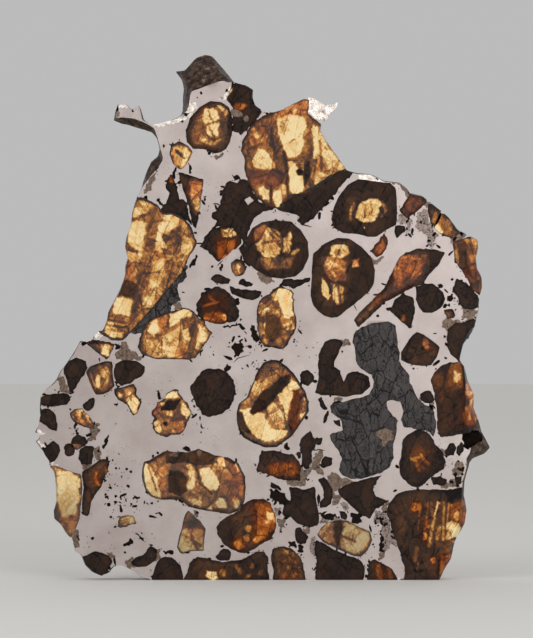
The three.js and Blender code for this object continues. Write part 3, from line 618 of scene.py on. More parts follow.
# On grains that take the opaque finish, the pale windows among the marks are painted glow: light from behind
# that would shine through them.
marks = {
    "round_top_left": [
        area(0.94, [(204, 109), (211, 107), (216, 111), (219, 118), (220, 124), (217, 131), (219, 136),
            (213, 138), (208, 134), (205, 126), (203, 117)], 1.4),
        area(0.72, [(201, 133), (206, 137), (212, 137), (219, 136), (220, 141), (212, 146), (206, 144),
            (200, 140)]),
        area(0.74, [(216, 104), (221, 104), (226, 107), (228, 112), (225, 116), (221, 110)]),
        area(0.3, [(201, 120), (206, 123), (207, 128), (202, 128)], 1.4),
        line(0.4, [(204, 125), (210, 123), (220, 120)], 1.3), line(0.5, [(209, 127), (214, 136)], 1.0),
        line(0.6, [(208, 110), (212, 120)], 0.8), line(0.45, [(202, 136), (214, 139), (221, 134)], 1.2),
        rust(0.5, [(196, 104), (206, 102), (200, 120), (194, 118)], 3)],
    "great_top": [
        area(0.6, [(274, 114), (286, 107), (300, 98), (309, 97), (308, 112), (292, 116), (280, 119)], 2),
        area(0.97, [(277, 118), (290, 113), (303, 116), (307, 124), (303, 134), (305, 141), (302, 150),
            (297, 157), (290, 157), (284, 152), (283, 143), (279, 134)], 1.4),
        line(0.7, [(283, 121), (288, 124), (295, 121)], 0.8), line(0.7, [(290, 142), (300, 135)], 0.7),
        area(0.8, [(279, 121), (288, 119), (290, 132), (283, 138)], 3),
        area(0.93, [(286, 161), (292, 160), (298, 168), (303, 173), (305, 184), (303, 191), (295, 194),
            (289, 190), (287, 176)], 1.4),
        area(0.03, [(295, 171), (300, 169), (304, 171), (302, 175), (297, 174)], 1.2),
        area(0.14, [(305, 163), (309, 160), (310, 176), (306, 187), (303, 176)], 1.4),
        area(0.36, [(307, 113), (312, 118), (312, 160), (307, 160)], 2),
        area(0.95, [(312, 126), (317, 126), (319, 140), (317, 160), (313, 160), (314, 142)], 1.0),
        area(0.68, [(319, 126), (330, 134), (340, 148), (351, 166), (336, 172), (318, 186), (311, 190),
            (312, 168), (318, 150)], 2.4),
        line(0.92, [(323, 136), (332, 158)], 1.0), line(0.88, [(328, 150), (342, 166)], 1.1),
        line(0.42, [(320, 140), (322, 170)], 1.3), line(0.48, [(333, 146), (346, 164)], 1.0),
        line(0.38, [(316, 160), (312, 188)], 1.3), line(0.9, [(320, 173), (329, 176)], 1.5),
        area(0.9, [(253, 158), (258, 149), (265, 150), (269, 155), (275, 162), (277, 172), (268, 170),
            (260, 168), (254, 167)], 1.6),
        line(0.78, [(253, 128), (257, 137)], 1.8), line(0.74, [(262, 141), (268, 134)], 1.8),
        line(0.7, [(250, 140), (254, 146)], 1.4), line(0.3, [(262, 122), (272, 140), (277, 158)], 1.3),
        line(0.3, [(247, 150), (262, 143)], 1.0),
        area(0.3, [(246, 170), (283, 168), (286, 183), (276, 186), (252, 184)], 3),
        area(0.95, [(258, 188), (264, 186), (270, 190), (270, 200), (263, 200)], 1.4),
        area(0.97, [(273, 189), (281, 190), (283, 200), (281, 207), (276, 207), (272, 199)], 1.4),
        line(0.24, [(284, 152), (287, 172), (288, 194)], 2.0), line(0.24, [(271, 186), (271, 205)], 1.4),
        rust(0.9, [(274, 114), (300, 97), (309, 97), (308, 113), (280, 118)], 3),
        rust(0.7, [(247, 171), (284, 168), (285, 184), (252, 186)]),
        rust(0.4, [(246, 124), (262, 117), (274, 130), (262, 146), (250, 146)])],
    "great_left": [
        area(0.9, [(134, 208), (147, 207), (149, 212), (140, 217), (134, 219), (132, 213)]),
        area(0.86, [(140, 202), (147, 201), (148, 206), (142, 207)], 1.2),
        area(0.94, [(130, 222), (143, 221), (146, 230), (151, 240), (147, 252), (141, 252), (132, 248),
            (127, 242), (128, 230)]),
        area(0.9, [(144, 222), (154, 222), (151, 236), (147, 231)], 1.2),
        area(0.9, [(161, 227), (162, 238), (163, 252), (154, 250), (156, 240)], 1.2),
        area(0.84, [(165, 213), (180, 215), (178, 225), (170, 230), (163, 223)]),
        area(0.88, [(183, 235), (191, 238), (193, 247), (183, 260), (178, 258), (181, 243)]),
        area(0.88, [(126, 250), (145, 254), (145, 262), (133, 262), (126, 260)]),
        area(0.84, [(151, 262), (163, 258), (166, 273), (158, 287), (148, 287), (147, 278)]),
        area(0.72, [(143, 297), (161, 295), (157, 303), (142, 307)]),
        area(0.96, [(117, 297), (135, 300), (134, 313), (132, 317), (112, 313), (113, 303)], 1.2),
        area(0.82, [(108, 318), (130, 321), (127, 330), (105, 328)]),
        line(0.5, [(107, 320), (130, 323)], 1.4), line(0.5, [(106, 325), (128, 328)], 1.4),
        line(0.55, [(105, 329), (125, 331)], 1.2),
        area(0.88, [(111, 331), (124, 332), (122, 338), (109, 337)]),
        area(0.24, [(122, 283), (126, 280), (145, 286), (143, 290), (135, 299), (117, 295)], 1.4),
        line(0.42, [(158, 208), (152, 230), (147, 253), (143, 280)], 5.5),
        line(0.38, [(143, 280), (137, 300), (132, 322), (128, 337)], 3.6),
        line(0.5, [(126, 249), (145, 253)], 1.4), line(0.45, [(134, 219), (150, 213)], 1.6),
        line(0.5, [(167, 262), (183, 256)], 1.8), line(0.5, [(163, 236), (180, 228)], 1.8),
        line(0.5, [(178, 230), (174, 262), (167, 284)], 1.8), line(0.5, [(147, 290), (163, 292)], 1.4),
        rust(0.6, [(153, 247), (163, 247), (163, 260), (153, 260)]),
        rust(0.7, [(125, 262), (134, 264), (133, 280), (124, 280)]),
        rust(0.6, [(172, 210), (190, 220), (186, 226), (172, 218)]),
        rust(0.5, [(128, 198), (137, 198), (134, 212), (129, 212)])],
    "gold_hexagon_left": [
        area(0.8, [(142, 340), (157, 339), (163, 347), (177, 346), (184, 358), (147, 358)], 2.4),
        area(0.95, [(152, 322), (157, 318), (157, 335), (154, 338), (148, 332)], 1.2),
        area(0.95, [(169, 315), (188, 308), (192, 313), (190, 318), (172, 328), (169, 328)], 1.2),
        area(0.52, [(158, 318), (167, 315), (167, 330), (159, 335)], 1.4),
        rust(0.7, [(158, 318), (167, 315), (167, 330), (159, 335)], 2),
        area(0.94, [(182, 330), (188, 327), (190, 342), (186, 340), (182, 335)], 1.2),
        area(0.92, [(200, 327), (205, 332), (200, 343), (193, 352), (197, 338)], 1.2),
        line(0.34, [(196, 322), (193, 340), (190, 357)], 3.4), line(0.36, [(168, 314), (168, 330)], 1.4),
        line(0.4, [(157, 336), (170, 330), (184, 320), (194, 318)], 2.2),
        line(0.5, [(166, 345), (180, 336)], 1.6),
        rust(0.5, [(170, 346), (186, 344), (188, 358), (172, 358)])],
    "brown_hexagon_centre": [
        line(0.42, [(209, 296), (214, 301)], 1.4), line(0.4, [(203, 306), (219, 302)], 1.2),
        area(0.36, [(204, 313), (216, 311), (225, 313), (224, 322), (212, 324), (204, 321)], 4),
        line(0.6, [(205, 318), (214, 320)], 1.2), spot(0.8, 222, 315, 226, 320),
        line(0.5, [(215, 314), (223, 317)], 1.2),
        rust(0.8, [(202, 294), (228, 294), (228, 324), (202, 324)], 4)],
    "ring_centre": [
        # The first area is a dark ring around the window: painted shade of the walls that lean in.
        area(0.12, [(252, 220), (312, 220), (312, 282), (262, 280), (262, 270), (290, 268), (297, 256),
            (296, 236), (284, 226), (262, 224)], 4),
        area(0.4, [(253, 225), (267, 223), (262, 236), (255, 242)], 3),
        rust(0.6, [(252, 225), (266, 223), (260, 238), (252, 242)]),
        area(0.34, [(257, 258), (295, 257), (290, 268), (266, 270)], 4),
        area(0.86, [(267, 227), (275, 229), (281, 233), (282, 243), (280, 253), (275, 258), (265, 257),
            (257, 250), (255, 245), (262, 237), (265, 230)]),
        area(0.82, [(284, 237), (291, 232), (292, 243), (289, 253), (283, 253)]),
        line(0.5, [(267, 229), (282, 248)], 1.4), line(0.55, [(265, 234), (263, 252)], 1.2),
        line(0.5, [(262, 243), (281, 240)], 1.2), line(0.6, [(271, 229), (281, 238)], 1.2),
        line(0.62, [(293, 253), (298, 250)], 2)],
    "ring_right": [
        area(0.24, [(346, 198), (356, 198), (356, 224), (347, 222)], 3),
        area(0.9, [(356, 212), (360, 203), (368, 199), (378, 198), (382, 203), (383, 210), (378, 217),
            (372, 222), (362, 222.5), (356, 218)]),
        area(0.42, [(382, 200), (387, 205), (386, 215), (381, 218)], 2), spot(0.2, 380, 205, 384, 213),
        line(0.72, [(352, 207), (350.5, 213), (351, 220)], 1.2), line(0.6, [(355, 203), (352.5, 209)], 1.2),
        line(0.7, [(371, 199), (372, 212)], 0.9), line(0.74, [(366, 203), (365, 218)], 0.8),
        spot(0.7, 364, 227, 366, 229)],
    "little_ring": [
        spot(0.95, 236, 263, 240, 272), line(0.5, [(233, 262), (233, 270), (236, 275)])],
    "fractured_centre": [
        area(0.97, [(279, 288), (287, 288), (292, 292), (294, 300), (293, 310), (294, 317), (286, 318),
            (282, 312), (280, 305), (278, 297), (276, 291)]),
        spot(0.85, 271, 291, 279, 299), spot(0.28, 261, 295, 271, 303), spot(0.72, 258, 303, 269, 316),
        spot(0.72, 258, 322, 266, 335), spot(0.66, 287, 321, 295, 331),
        area(0.25, [(266, 312), (280, 316), (284, 332), (272, 344), (264, 336)], 3),
        rust(0.7, [(284, 293), (288, 293), (287, 311), (283, 311)], 2),
        rust(0.6, [(261, 295), (271, 303), (266, 306)])],
    "brown_centre_right": [
        area(0.1, [(350, 240), (378, 258), (378, 292), (342, 320), (318, 318), (313, 303), (322, 303),
            (332, 306), (346, 300), (350, 286), (352, 268), (350, 256)], 5),
        area(0.5, [(322, 257), (334, 256), (346, 262), (347, 280), (334, 281), (324, 272)], 3),
        rust(0.5, [(322, 256), (346, 260), (347, 282), (326, 278)]),
        area(0.7, [(332, 245), (340, 242), (348, 246), (349, 254), (342, 258), (333, 257), (331, 250)]),
        spot(0.45, 335, 249, 343, 255), line(0.85, [(331, 253), (336, 247), (344, 244)], 1.6),
        area(0.56, [(352, 260), (359, 258), (360, 266), (353, 268)], 2),
        rust(1.0, [(351, 258), (361, 257), (361, 269)]),
        area(0.93, [(321, 280), (323, 278), (328, 285), (330, 296), (328, 299), (323, 295), (321, 288)], 1),
        area(0.64, [(331, 283), (343, 287), (343, 303), (338, 305), (333, 300)], 2.4),
        line(0.85, [(334, 286), (338, 301)], 1.4), line(0.8, [(326, 262), (335, 276)], 1.4),
        line(0.8, [(331, 262), (341, 268)], 1.4), line(0.35, [(338, 284), (341, 303)], 1.2)],
    "red_lens": [
        area(0.56, [(393, 262), (404, 256), (416, 255), (424, 262), (420, 276), (408, 284), (396, 290)], 4),
        area(0.1, [(429, 252), (444, 250), (440, 276), (428, 284)], 4),
        rust(0.9, [(380, 270), (404, 254), (426, 258), (420, 282), (392, 298), (372, 306)], 6)],
    "rusty_quarter_right": [
        rust(1.0, [(423, 334), (429, 336), (430, 350), (424, 352)]), spot(0.4, 423, 336, 429, 350),
        spot(0.0, 420, 347, 423, 351)],
    "brown_flank_right": [
        area(0.36, [(447, 377), (452, 364), (460, 360), (463, 376), (464, 386), (452, 392), (448, 385)], 3),
        spot(0.62, 453, 373, 461, 384, 2), line(0.7, [(455, 372), (458, 384)], 1.4),
        area(0.22, [(432, 376), (440, 372), (442, 386), (434, 390)], 3),
        area(0.06, [(461, 366), (468, 366), (490, 400), (490, 450), (460, 450), (464, 396)], 2),
        area(0.55, [(466, 396), (465, 388), (468, 380), (475, 386), (476, 400), (471, 404)], 1.6),
        spot(0.95, 470, 399, 475, 406, 1), spot(0.84, 467, 391, 472, 396, 1),
        area(0.3, [(462, 414), (468, 405), (478, 407), (482, 420), (480, 427), (464, 425)], 2),
        line(0.6, [(467, 408), (470, 418)], 2), spot(0.6, 475, 416, 480, 421),
        line(0.45, [(474, 408), (477, 414)], 1.4),
        rust(0.9, [(462, 380), (484, 380), (488, 428), (460, 428)]),
        rust(0.3, [(434, 376), (462, 362), (462, 430), (436, 430)], 6)],
    "great_centre": [
        area(0.95, [(240, 411), (249, 408), (262, 412), (266, 420), (272, 430), (288, 431), (285, 437),
            (277, 441), (268, 442), (258, 439), (250, 431), (246, 424)]),
        area(0.66, [(265, 408), (276, 402), (288, 404), (288, 428), (276, 428), (272, 420)]),
        area(0.92, [(277, 395), (283, 391), (288, 384), (292, 381), (300, 383), (300, 388), (293, 391),
            (292, 398), (289, 408), (287, 415), (281, 404)], 1.2),
        area(0.7, [(240, 392), (252, 382), (262, 379), (258, 390), (248, 405), (238, 404)], 2),
        area(0.5, [(262, 373), (283, 370), (270, 384), (258, 395)], 2),
        area(0.1, [(250, 413), (256, 400), (262, 391), (270, 387), (280, 377), (291, 375), (290, 382),
            (281, 391), (276, 397), (270, 405), (262, 411), (254, 415)], 1.4),
        area(0.24, [(294, 391), (299, 390), (303, 397), (301, 405), (299, 412), (298, 422), (295, 431),
            (290, 434), (288, 428), (289, 415), (291, 403)], 1.4),
        area(0.16, [(236, 412), (243, 413), (246, 424), (251, 433), (246, 433), (239, 426)], 1.4),
        area(0.74, [(302, 388), (308, 394), (311, 408), (306, 420), (301, 428), (300, 415), (304, 402)],
            1.4),
        spot(0.12, 302, 393, 307, 397), spot(0.16, 306, 404, 310, 412),
        line(0.6, [(265, 414), (271, 430)], 0.8),
        rust(0.8, [(258, 398), (268, 389), (262, 412), (252, 414)], 2),
        rust(0.6, [(288, 392), (303, 392), (302, 430), (288, 430)], 3),
        rust(0.5, [(236, 378), (262, 372), (250, 396), (236, 400)], 3)],
    "great_lower_left": [
        area(0.95, [(143, 464), (147, 463), (150, 468), (155, 475), (160, 480), (163, 487), (162, 494),
            (160, 500), (152, 497), (146, 490), (143, 480)]),
        area(0.55, [(155, 466), (166, 468), (168, 498), (161, 498)]),
        line(0.5, [(148, 466), (156, 490)], 0.8),
        area(0.2, [(165, 452), (190, 452), (214, 456), (214, 464), (198, 466), (186, 463), (166, 464)], 2),
        area(0.16, [(169, 470), (178, 470), (187, 478), (187, 492), (180, 496), (168, 492)], 2),
        area(0.85, [(186, 465), (191, 464), (195, 472), (193, 489), (188, 489), (190, 478)], 1.6),
        area(0.97, [(199, 469), (209, 467), (214, 474), (221, 485), (217, 490), (209, 491), (206, 487),
            (203, 484), (200, 474)], 1.2),
        area(0.3, [(214, 470), (244, 476), (244, 500), (228, 508), (218, 494), (222, 486)], 4),
        area(0.66, [(216, 458), (224, 457), (226, 468), (220, 468)], 2),
        line(0.85, [(218, 460), (222, 468)], 0.9),
        area(0.66, [(234, 464), (240, 466), (244, 475), (238, 475)], 2),
        line(0.95, [(236, 464), (238, 471)], 0.9),
        area(0.92, [(218, 498), (225, 499), (226, 509), (219, 509), (215, 504)], 1.2),
        spot(0.05, 180, 446, 190, 452), area(0.88, [(205, 510), (212, 505), (213, 512)], 1.2),
        spot(0.72, 234, 498, 240, 508), spot(0.6, 198, 450, 202, 456), spot(0.6, 170, 452, 178, 457),
        area(0.7, [(188, 500), (200, 498), (204, 506), (192, 506)], 2),
        line(0.25, [(196, 466), (200, 484), (212, 494)], 1.2),
        rust(0.7, [(228, 462), (246, 466), (244, 500), (230, 506)], 3),
        rust(0.6, [(155, 466), (166, 468), (168, 498), (161, 498)]),
        rust(0.6, [(214, 457), (226, 458), (222, 470)], 2)],
    "gold_flank_left": [
        area(0.95, [(57, 472), (72, 472), (80, 480), (79, 500), (74, 520), (62, 522), (56, 500)], 2.4),
        area(0.5, [(60, 518), (78, 515), (76, 538), (66, 538)], 3),
        rust(0.7, [(60, 518), (78, 515), (76, 538)])],
    "brown_wedge_left": [
        line(0.5, [(97, 473), (95, 479), (99, 485)], 1.4), line(0.44, [(106, 468), (107, 474)], 1.6),
        line(0.26, [(88, 480), (90, 500)], 2), rust(0.8, [(93, 471), (101, 471), (101, 486), (93, 486)], 2),
        rust(0.7, [(103, 466), (109, 466), (109, 476)], 2)],
    "amber_left": [
        line(0.95, [(98, 377), (97, 386)], 2.6), spot(0.78, 101, 366, 110, 386, 3),
        area(0.34, [(86, 368), (94, 364), (96, 376), (92, 388)]),
        rust(0.5, [(86, 364), (96, 362), (94, 390)])],
    "tail_left": [
        area(0.92, [(117, 386), (126, 385), (123, 390), (119, 389)]),
        area(0.9, [(118, 392), (122, 394), (120, 399)]), spot(0.66, 127, 393, 134, 410),
        area(0.95, [(133, 395), (140, 402), (138, 410), (134, 416), (131, 412), (130, 403)])],
    "brown_grain_left": [
        area(0.05, [(162, 405), (167, 401), (181, 400), (175, 410), (160, 411)], 1.4),
        spot(0.02, 163, 422, 167, 426),
        area(0.93, [(165, 399), (167, 394), (172, 391), (178, 391), (178, 398), (170, 399)], 1.2),
        area(0.95, [(181, 404), (186, 405), (191, 413), (188, 417), (186, 420), (183, 415), (180.5, 410)],
            1.2),
        area(0.9, [(153, 421), (158, 420), (161, 428), (160, 434), (155, 432)], 1.2),
        area(0.76, [(165, 411), (172, 411), (172, 417), (165, 417)]),
        area(0.76, [(172, 421), (184, 420), (183, 432), (172, 434)]), spot(0.74, 160, 402, 165, 406),
        line(0.3, [(160, 414), (172, 420), (184, 419)], 2),
        rust(1.0, [(152, 404), (160, 404), (160, 415), (152, 415)], 2),
        rust(0.5, [(172, 418), (186, 418), (184, 434), (172, 434)], 3)],
    "amber_lower_left": [
        area(0.3, [(184, 510), (200, 512), (204, 529), (183, 530)], 3),
        area(0.86, [(178, 532), (203, 532), (203, 556), (178, 556)], 4),
        line(0.97, [(180, 540), (190, 553)], 2.4), line(0.5, [(190, 533), (198, 552)], 1.4),
        line(0.45, [(182, 534), (200, 546)], 1.2),
        rust(0.6, [(182, 524), (204, 524), (204, 538), (182, 538)], 4)],
    "great_lower_centre": [
        area(0.1, [(215, 512), (233, 508), (236, 545), (220, 548)], 9), spot(0.5, 233, 540, 243, 550),
        area(0.42, [(256, 502), (270, 504), (277, 518), (274, 530), (262, 540), (254, 530), (258, 515)], 4),
        spot(0.92, 265, 511, 274, 520), spot(0.74, 271, 517, 276, 522), spot(0.7, 264, 520, 269, 524),
        spot(0.6, 245, 525, 252, 532), spot(0.6, 243, 534, 250, 542),
        line(0.55, [(256, 540), (262, 534)], 3),
        rust(0.9, [(250, 500), (274, 502), (280, 520), (270, 540), (250, 546), (252, 520)], 4),
        rust(0.8, [(228, 536), (246, 536), (246, 552), (230, 552)])],
    "gold_lower_right": [
        area(0.86, [(345, 522), (357, 526), (356, 534), (343, 536)], 2),
        area(0.8, [(341, 537), (352, 538), (362, 546), (360, 555), (346, 551), (340, 548)], 2),
        area(0.9, [(361, 531), (369, 535), (370, 542), (362, 540)], 2),
        area(0.2, [(334, 520), (343, 520), (341, 547), (336, 547), (333, 535)], 1.6),
        line(0.76, [(328, 522), (328, 543)], 2.4), line(0.7, [(322, 530), (324, 538)], 2.4),
        line(0.3, [(341, 536), (356, 542)], 1.4),
        rust(0.5, [(316, 520), (334, 520), (336, 548), (316, 540)], 3),
        rust(0.7, [(362, 542), (372, 538), (368, 552), (362, 552)], 2)],
    "gold_foot_centre": [
        area(0.26, [(280, 549), (300, 554), (303, 582), (280, 582)], 5), spot(0.66, 283, 549, 289, 555),
        spot(0.5, 291, 552, 296, 557), spot(0.42, 282, 559, 287, 563), spot(0.5, 287, 565, 291, 569),
        spot(0.46, 294, 561, 298, 565), spot(0.4, 283, 573, 287, 577), spot(0.5, 291, 573, 297, 578),
        line(0.42, [(289, 557), (293, 563)], 1.2), line(0.4, [(299, 568), (301, 576)], 1.4),
        line(0.36, [(278, 560), (279, 572)], 1.2),
        rust(0.3, [(282, 570), (300, 570), (300, 582), (282, 582)], 3)],
    "brown_foot_left": [
        spot(0.75, 205, 571, 218, 579), spot(0.5, 220, 569, 226, 576), line(0.5, [(236, 566), (240, 572)]),
        spot(0.45, 250, 564, 256, 569), spot(0.5, 258, 570, 263, 575), spot(0.4, 246, 573, 251, 578)],
    "brown_foot_right": [
        line(0.36, [(378, 566), (380, 578)], 2.4), line(0.3, [(388, 566), (391, 577)], 2),
        rust(0.6, [(373, 562), (394, 562), (394, 580), (373, 580)])],
    "brown_lozenge": [
        area(0.34, [(270, 466), (282, 463), (294, 464), (298, 472), (288, 477), (270, 475)], 5),
        line(0.5, [(278, 465), (277, 474)], 1.2), line(0.5, [(285, 464), (286, 475)], 1.2),
        line(0.42, [(291, 466), (294, 473)], 1.2),
        rust(0.8, [(268, 462), (300, 462), (300, 478), (268, 478)], 3)],
    "glowing_dark_lower_right": [
        # A patch a little paler than the grain: painted glow, as if light shone through it from behind.
        area(0.19, [(408, 458), (418, 445), (432, 453), (432, 467), (420, 473)], 7),
        line(0.4, [(411, 459), (416, 461), (419, 470)], 1.4),
        line(0.45, [(421, 455), (425, 461), (429, 464)], 1.4), line(0.4, [(414, 458), (421, 457)], 1.2),
        line(0.35, [(418, 464), (424, 468)], 1.2),
        rust(0.4, [(408, 448), (434, 444), (434, 468), (414, 474)], 5)],
    "great_foot_right": [
        area(0.3, [(424, 502), (446, 500), (446, 545), (424, 545)], 6),
        line(0.5, [(428, 503), (426, 528)], 1.0), line(0.6, [(444, 503), (443, 540)], 1.2),
        line(0.55, [(449, 503), (447, 522)], 1.0), line(0.45, [(420, 508), (418, 530)], 0.9),
        line(0.75, [(459, 503), (466, 516)], 1.2), line(0.7, [(452, 505), (462, 520)], 1.2),
        line(0.6, [(450, 541), (462, 545)], 1.4),
        area(0.92, [(437, 501), (440, 501), (438, 508), (435, 518), (433, 518)], 0.9),
        line(0.68, [(434, 518), (432, 530), (429, 546)], 1.6), line(0.6, [(439, 527), (437, 538)], 2),
        line(0.5, [(431, 503), (432, 515)], 1.6), line(0.62, [(425, 530), (430, 526)], 1.6),
        spot(0.4, 411, 502, 421, 512), spot(0.62, 412, 507, 415, 511), spot(0.68, 422, 532, 427, 540),
        area(0.8, [(446, 524), (452, 521), (460, 524), (462, 530), (457, 538), (446, 540)], 2),
        spot(0.95, 453, 529, 460, 538), spot(0.3, 444, 540, 452, 547),
        area(0.38, [(450, 506), (466, 498), (470, 526), (458, 524), (449, 516)], 7),
        spot(0.62, 454, 512, 459, 521),
        area(0.02, [(440, 486), (452, 484), (470, 486), (470, 500), (460, 498), (450, 503), (446, 496)], 4),
        spot(0.3, 399, 518, 408, 534, 5), line(0.45, [(417, 548), (415, 560)], 2),
        spot(0.62, 416, 563, 419, 569), spot(0.5, 431, 557, 435, 563),
        area(0.03, [(436, 574), (438, 562), (442, 555), (441, 566), (438, 576)], 1),
        area(0.42, [(441, 555), (456, 554), (456, 574), (440, 578)], 2), spot(0.72, 447, 563, 453, 569),
        area(0.36, [(440, 544), (456, 544), (456, 553), (440, 553)], 3),
        rust(0.9, [(410, 501), (422, 501), (422, 513), (410, 513)], 2),
        rust(1.0, [(438, 553), (460, 553), (456, 580), (438, 580)], 2),
        rust(0.6, [(449, 503), (472, 498), (468, 526), (450, 518)], 6),
        rust(0.8, [(421, 518), (429, 518), (428, 544), (420, 544)], 2),
        rust(0.9, [(430, 556), (436, 556), (436, 564), (430, 564)], 2)],
    "red_brown_centre_left": [
        area(0.8, [(221, 229), (236, 228), (237, 236), (222, 238)]),
        area(0.4, [(217, 241), (235, 240), (234, 259), (218, 260)], 3),
        rust(1.0, [(214, 238), (238, 238), (236, 262), (216, 262)])],
    "red_shard_top_left": [
        area(0.62, [(190, 178), (203, 181), (202, 196), (196, 214), (191, 200)], 3),
        spot(0.8, 196, 198, 200, 213), rust(0.9, [(188, 176), (205, 180), (202, 200), (190, 196)])],
    "amber_fleck_left": [
        area(0.95, [(76, 408), (81, 407), (83, 411), (80, 413)], 1.2),
        area(0.9, [(85, 415), (89, 415), (88, 421), (86, 420)], 1.2),
        line(0.5, [(73, 411), (76, 420), (82, 426)], 1.4),
        line(0.45, [(82, 413), (86, 424), (92, 427)], 1.6),
        rust(0.6, [(70, 410), (80, 414), (92, 428), (78, 426)], 3)],
    "amber_grain_top_left": [
        area(0.9, [(173, 146), (181, 148), (187, 152), (183, 160), (177, 157), (173, 153)], 2),
        line(0.4, [(176, 150), (184, 158)], 1.4),
        rust(0.6, [(170, 150), (176, 150), (178, 166), (172, 164)], 3)],
    "amber_flank_upper_right": [
        area(0.93, [(438, 223), (443, 232), (440, 234), (434, 229)], 1.2)],
    "red_grain_upper_right": [
        rust(0.9, [(398, 190), (416, 190), (426, 214), (400, 216)])],
    "gold_flank_right": [
        area(0.66, [(465, 240), (480, 234), (480, 257), (474, 264), (470, 262), (467, 250)], 2),
        area(0.82, [(470, 255), (478, 253), (477, 262), (471, 264)], 1.4),
        area(0.5, [(455, 250), (461, 249), (463, 262), (457, 262)], 2),
        area(0.2, [(458, 243), (466, 242), (468, 262), (474, 280), (466, 274), (460, 262)], 2),
        area(0.36, [(470, 264), (480, 264), (486, 296), (474, 288)], 2),
        rust(0.6, [(464, 262), (482, 266), (486, 298), (470, 288)], 3),
        rust(0.3, [(462, 236), (484, 236), (480, 264), (468, 264)], 3)],
    "dark_crest": [
        spot(0.42, 234, 103, 246, 109), spot(0.1, 234, 120, 246, 136),
        line(0.9, [(225, 98), (232, 89)], 1.4),
        rust(0.8, [(233, 102), (247, 102), (246, 110), (234, 110)])],
    "brown_shard_top_left": [
        area(0.4, [(169, 183), (171, 176), (175, 183)]), rust(0.9, [(167, 184), (171, 174), (177, 184)])],
    "dark_kite_right": [
        spot(0.42, 402, 315, 406, 321), rust(0.8, [(401, 314), (406, 314), (406, 322)])]}


def blend(share):
    """Smooth step from 0 to 1."""
    share = np.clip(share, 0, 1)
    return share * share * (3 - 2 * share)


broad_reach, broad_cell, broad_seed = 0.45, 1.3, 21  # mm of drift, mm of its cell, and its seed
fine_reach, fine_cell, fine_seed = 0.3, 0.5, 23
line_reach = 0.2  # mm of fine drift that a vein has


def stains(name, places, ring):
    """Light and rust at points of a crystal: its tone, its border of painted shade, and then each of its
    marks in turn.

    A mark covers the share c of what is there already: light = light + (level - light) x c. A line is
    full up to half its width from its middle and gone at one and a half. An area fades over its softness,
    half of it inside its outline and half outside.
    """
    middle, border, width = tones.get(name, dark_tone)
    fine = drift(places, fine_cell, fine_seed)
    moved = places + broad_reach * drift(places, broad_cell, broad_seed) + fine_reach * fine
    inner = blend(depth_inside(moved, ring) * pixels_per_mm / width)
    # The border level paints the shade where the walls lean in and block the light from behind.
    light = border + (middle - border) * inner
    rusty = np.zeros(len(places))
    for kind, level, soft, shape in marks.get(name, []):
        if kind == "line":
            cover = blend(1.5 - distance_to(places + line_reach * fine, shape, False) * pixels_per_mm / soft)
            light += (level - light) * cover
            continue
        cover = blend(0.5 + depth_inside(moved, shape) * pixels_per_mm / soft)
        if kind == "rust":
            rusty = np.maximum(rusty, level * cover)
        else:
            light += (level - light) * cover
    return light, rusty


# %% [markdown]
# Materials come next, because the meshes name them. One function turns sRGB colours to linear ones, and
# one adds a node with its settings and links. Patterns read Object coordinates, turned to millimetres,
# so every size in them is a real one.

# %% Colours and nodes
def linear(code):
    """Linear colour of an sRGB hex code, by the standard curve."""
    shares = np.array([int(code[place:place + 2], 16) for place in (1, 3, 5)]) / 255
    shares = np.where(shares <= 0.04045, shares / 12.92, ((shares + 0.055) / 1.055) ** 2.4)
    return (*shares, 1.0)


def add_node(material, kind, inputs=None, stops=None, **settings):
    """Adds a node: inputs are values or links by socket, stops are a ramp's places and colours."""
    tree = material.node_tree
    node = tree.nodes.new("ShaderNode" + kind)
    for name, value in settings.items():
        setattr(node, name, value)
    if stops:
        elements = node.color_ramp.elements
        elements[0].position = stops[0][0]
        elements[-1].position = stops[-1][0]
        for place, _ in stops[1:-1]:
            elements.new(place)
        for element, (_, code) in zip(elements, stops):
            element.color = linear(code)
    for socket, value in (inputs or {}).items():
        if isinstance(value, bpy.types.NodeSocket):
            tree.links.new(value, node.inputs[socket])
        else:
            node.inputs[socket].default_value = value
    return node


def new_material(name):
    """A material with only its output node, and the output."""
    material = bpy.data.materials.new(name)
    material.use_nodes = True
    material.node_tree.nodes.clear()
    return material, add_node(material, "OutputMaterial")


def in_millimetres(material, squeeze=1.0):
    """Object coordinates in millimetres, with the slice's thickness squeezed by a share."""
    place = add_node(material, "TexCoord").outputs["Object"]
    scale = (metre, metre * squeeze, metre)
    return add_node(material, "Mapping", {"Vector": place, "Scale": scale}).outputs[0]


# %% [markdown]
# Olivine: a clear yellow-green to brown crystal, sawn and polished flat. It is see-through, with a high
# refractive index, and its depth colours the light amber. Cracks cross it in cells of one to three
# millimetres. The level stored on the mesh is shifted by these cracks and by a fine mottling, and a
# ramp turns it to colour. The same pattern runs through to the rear face, because the thickness is
# squeezed, so front and rear stains lie over each other. Dark grains end on metal inside the slab, so
# their finish is opaque, with a low gloss. It gives their stains, and where their stored level is high
# it paints in the glow of light that would shine through them from behind.

# %% Olivine
def weighted_sum(material, shifts):
    """The sum of (value - centre) x weight over all the shifts."""
    total = 0.0
    for value, centre, weight in shifts:
        value = add_node(material, "Math", {0: value, 1: centre}, operation="SUBTRACT").outputs[0]
        total = add_node(material, "Math", {0: value, 1: weight, 2: total},
                         operation="MULTIPLY_ADD").outputs[0]
    return total


def bent_place(material, place, scale, detail, reach):
    """The place shifted in the plane by a noise, up to a reach in millimetres."""
    bend = add_node(material, "TexNoise", {"Vector": place, "Scale": scale, "Detail": detail})
    return add_node(material, "VectorMath", {0: bend.outputs["Color"], 1: (reach, 0.0, reach), 2: place},
                    operation="MULTIPLY_ADD").outputs[0]


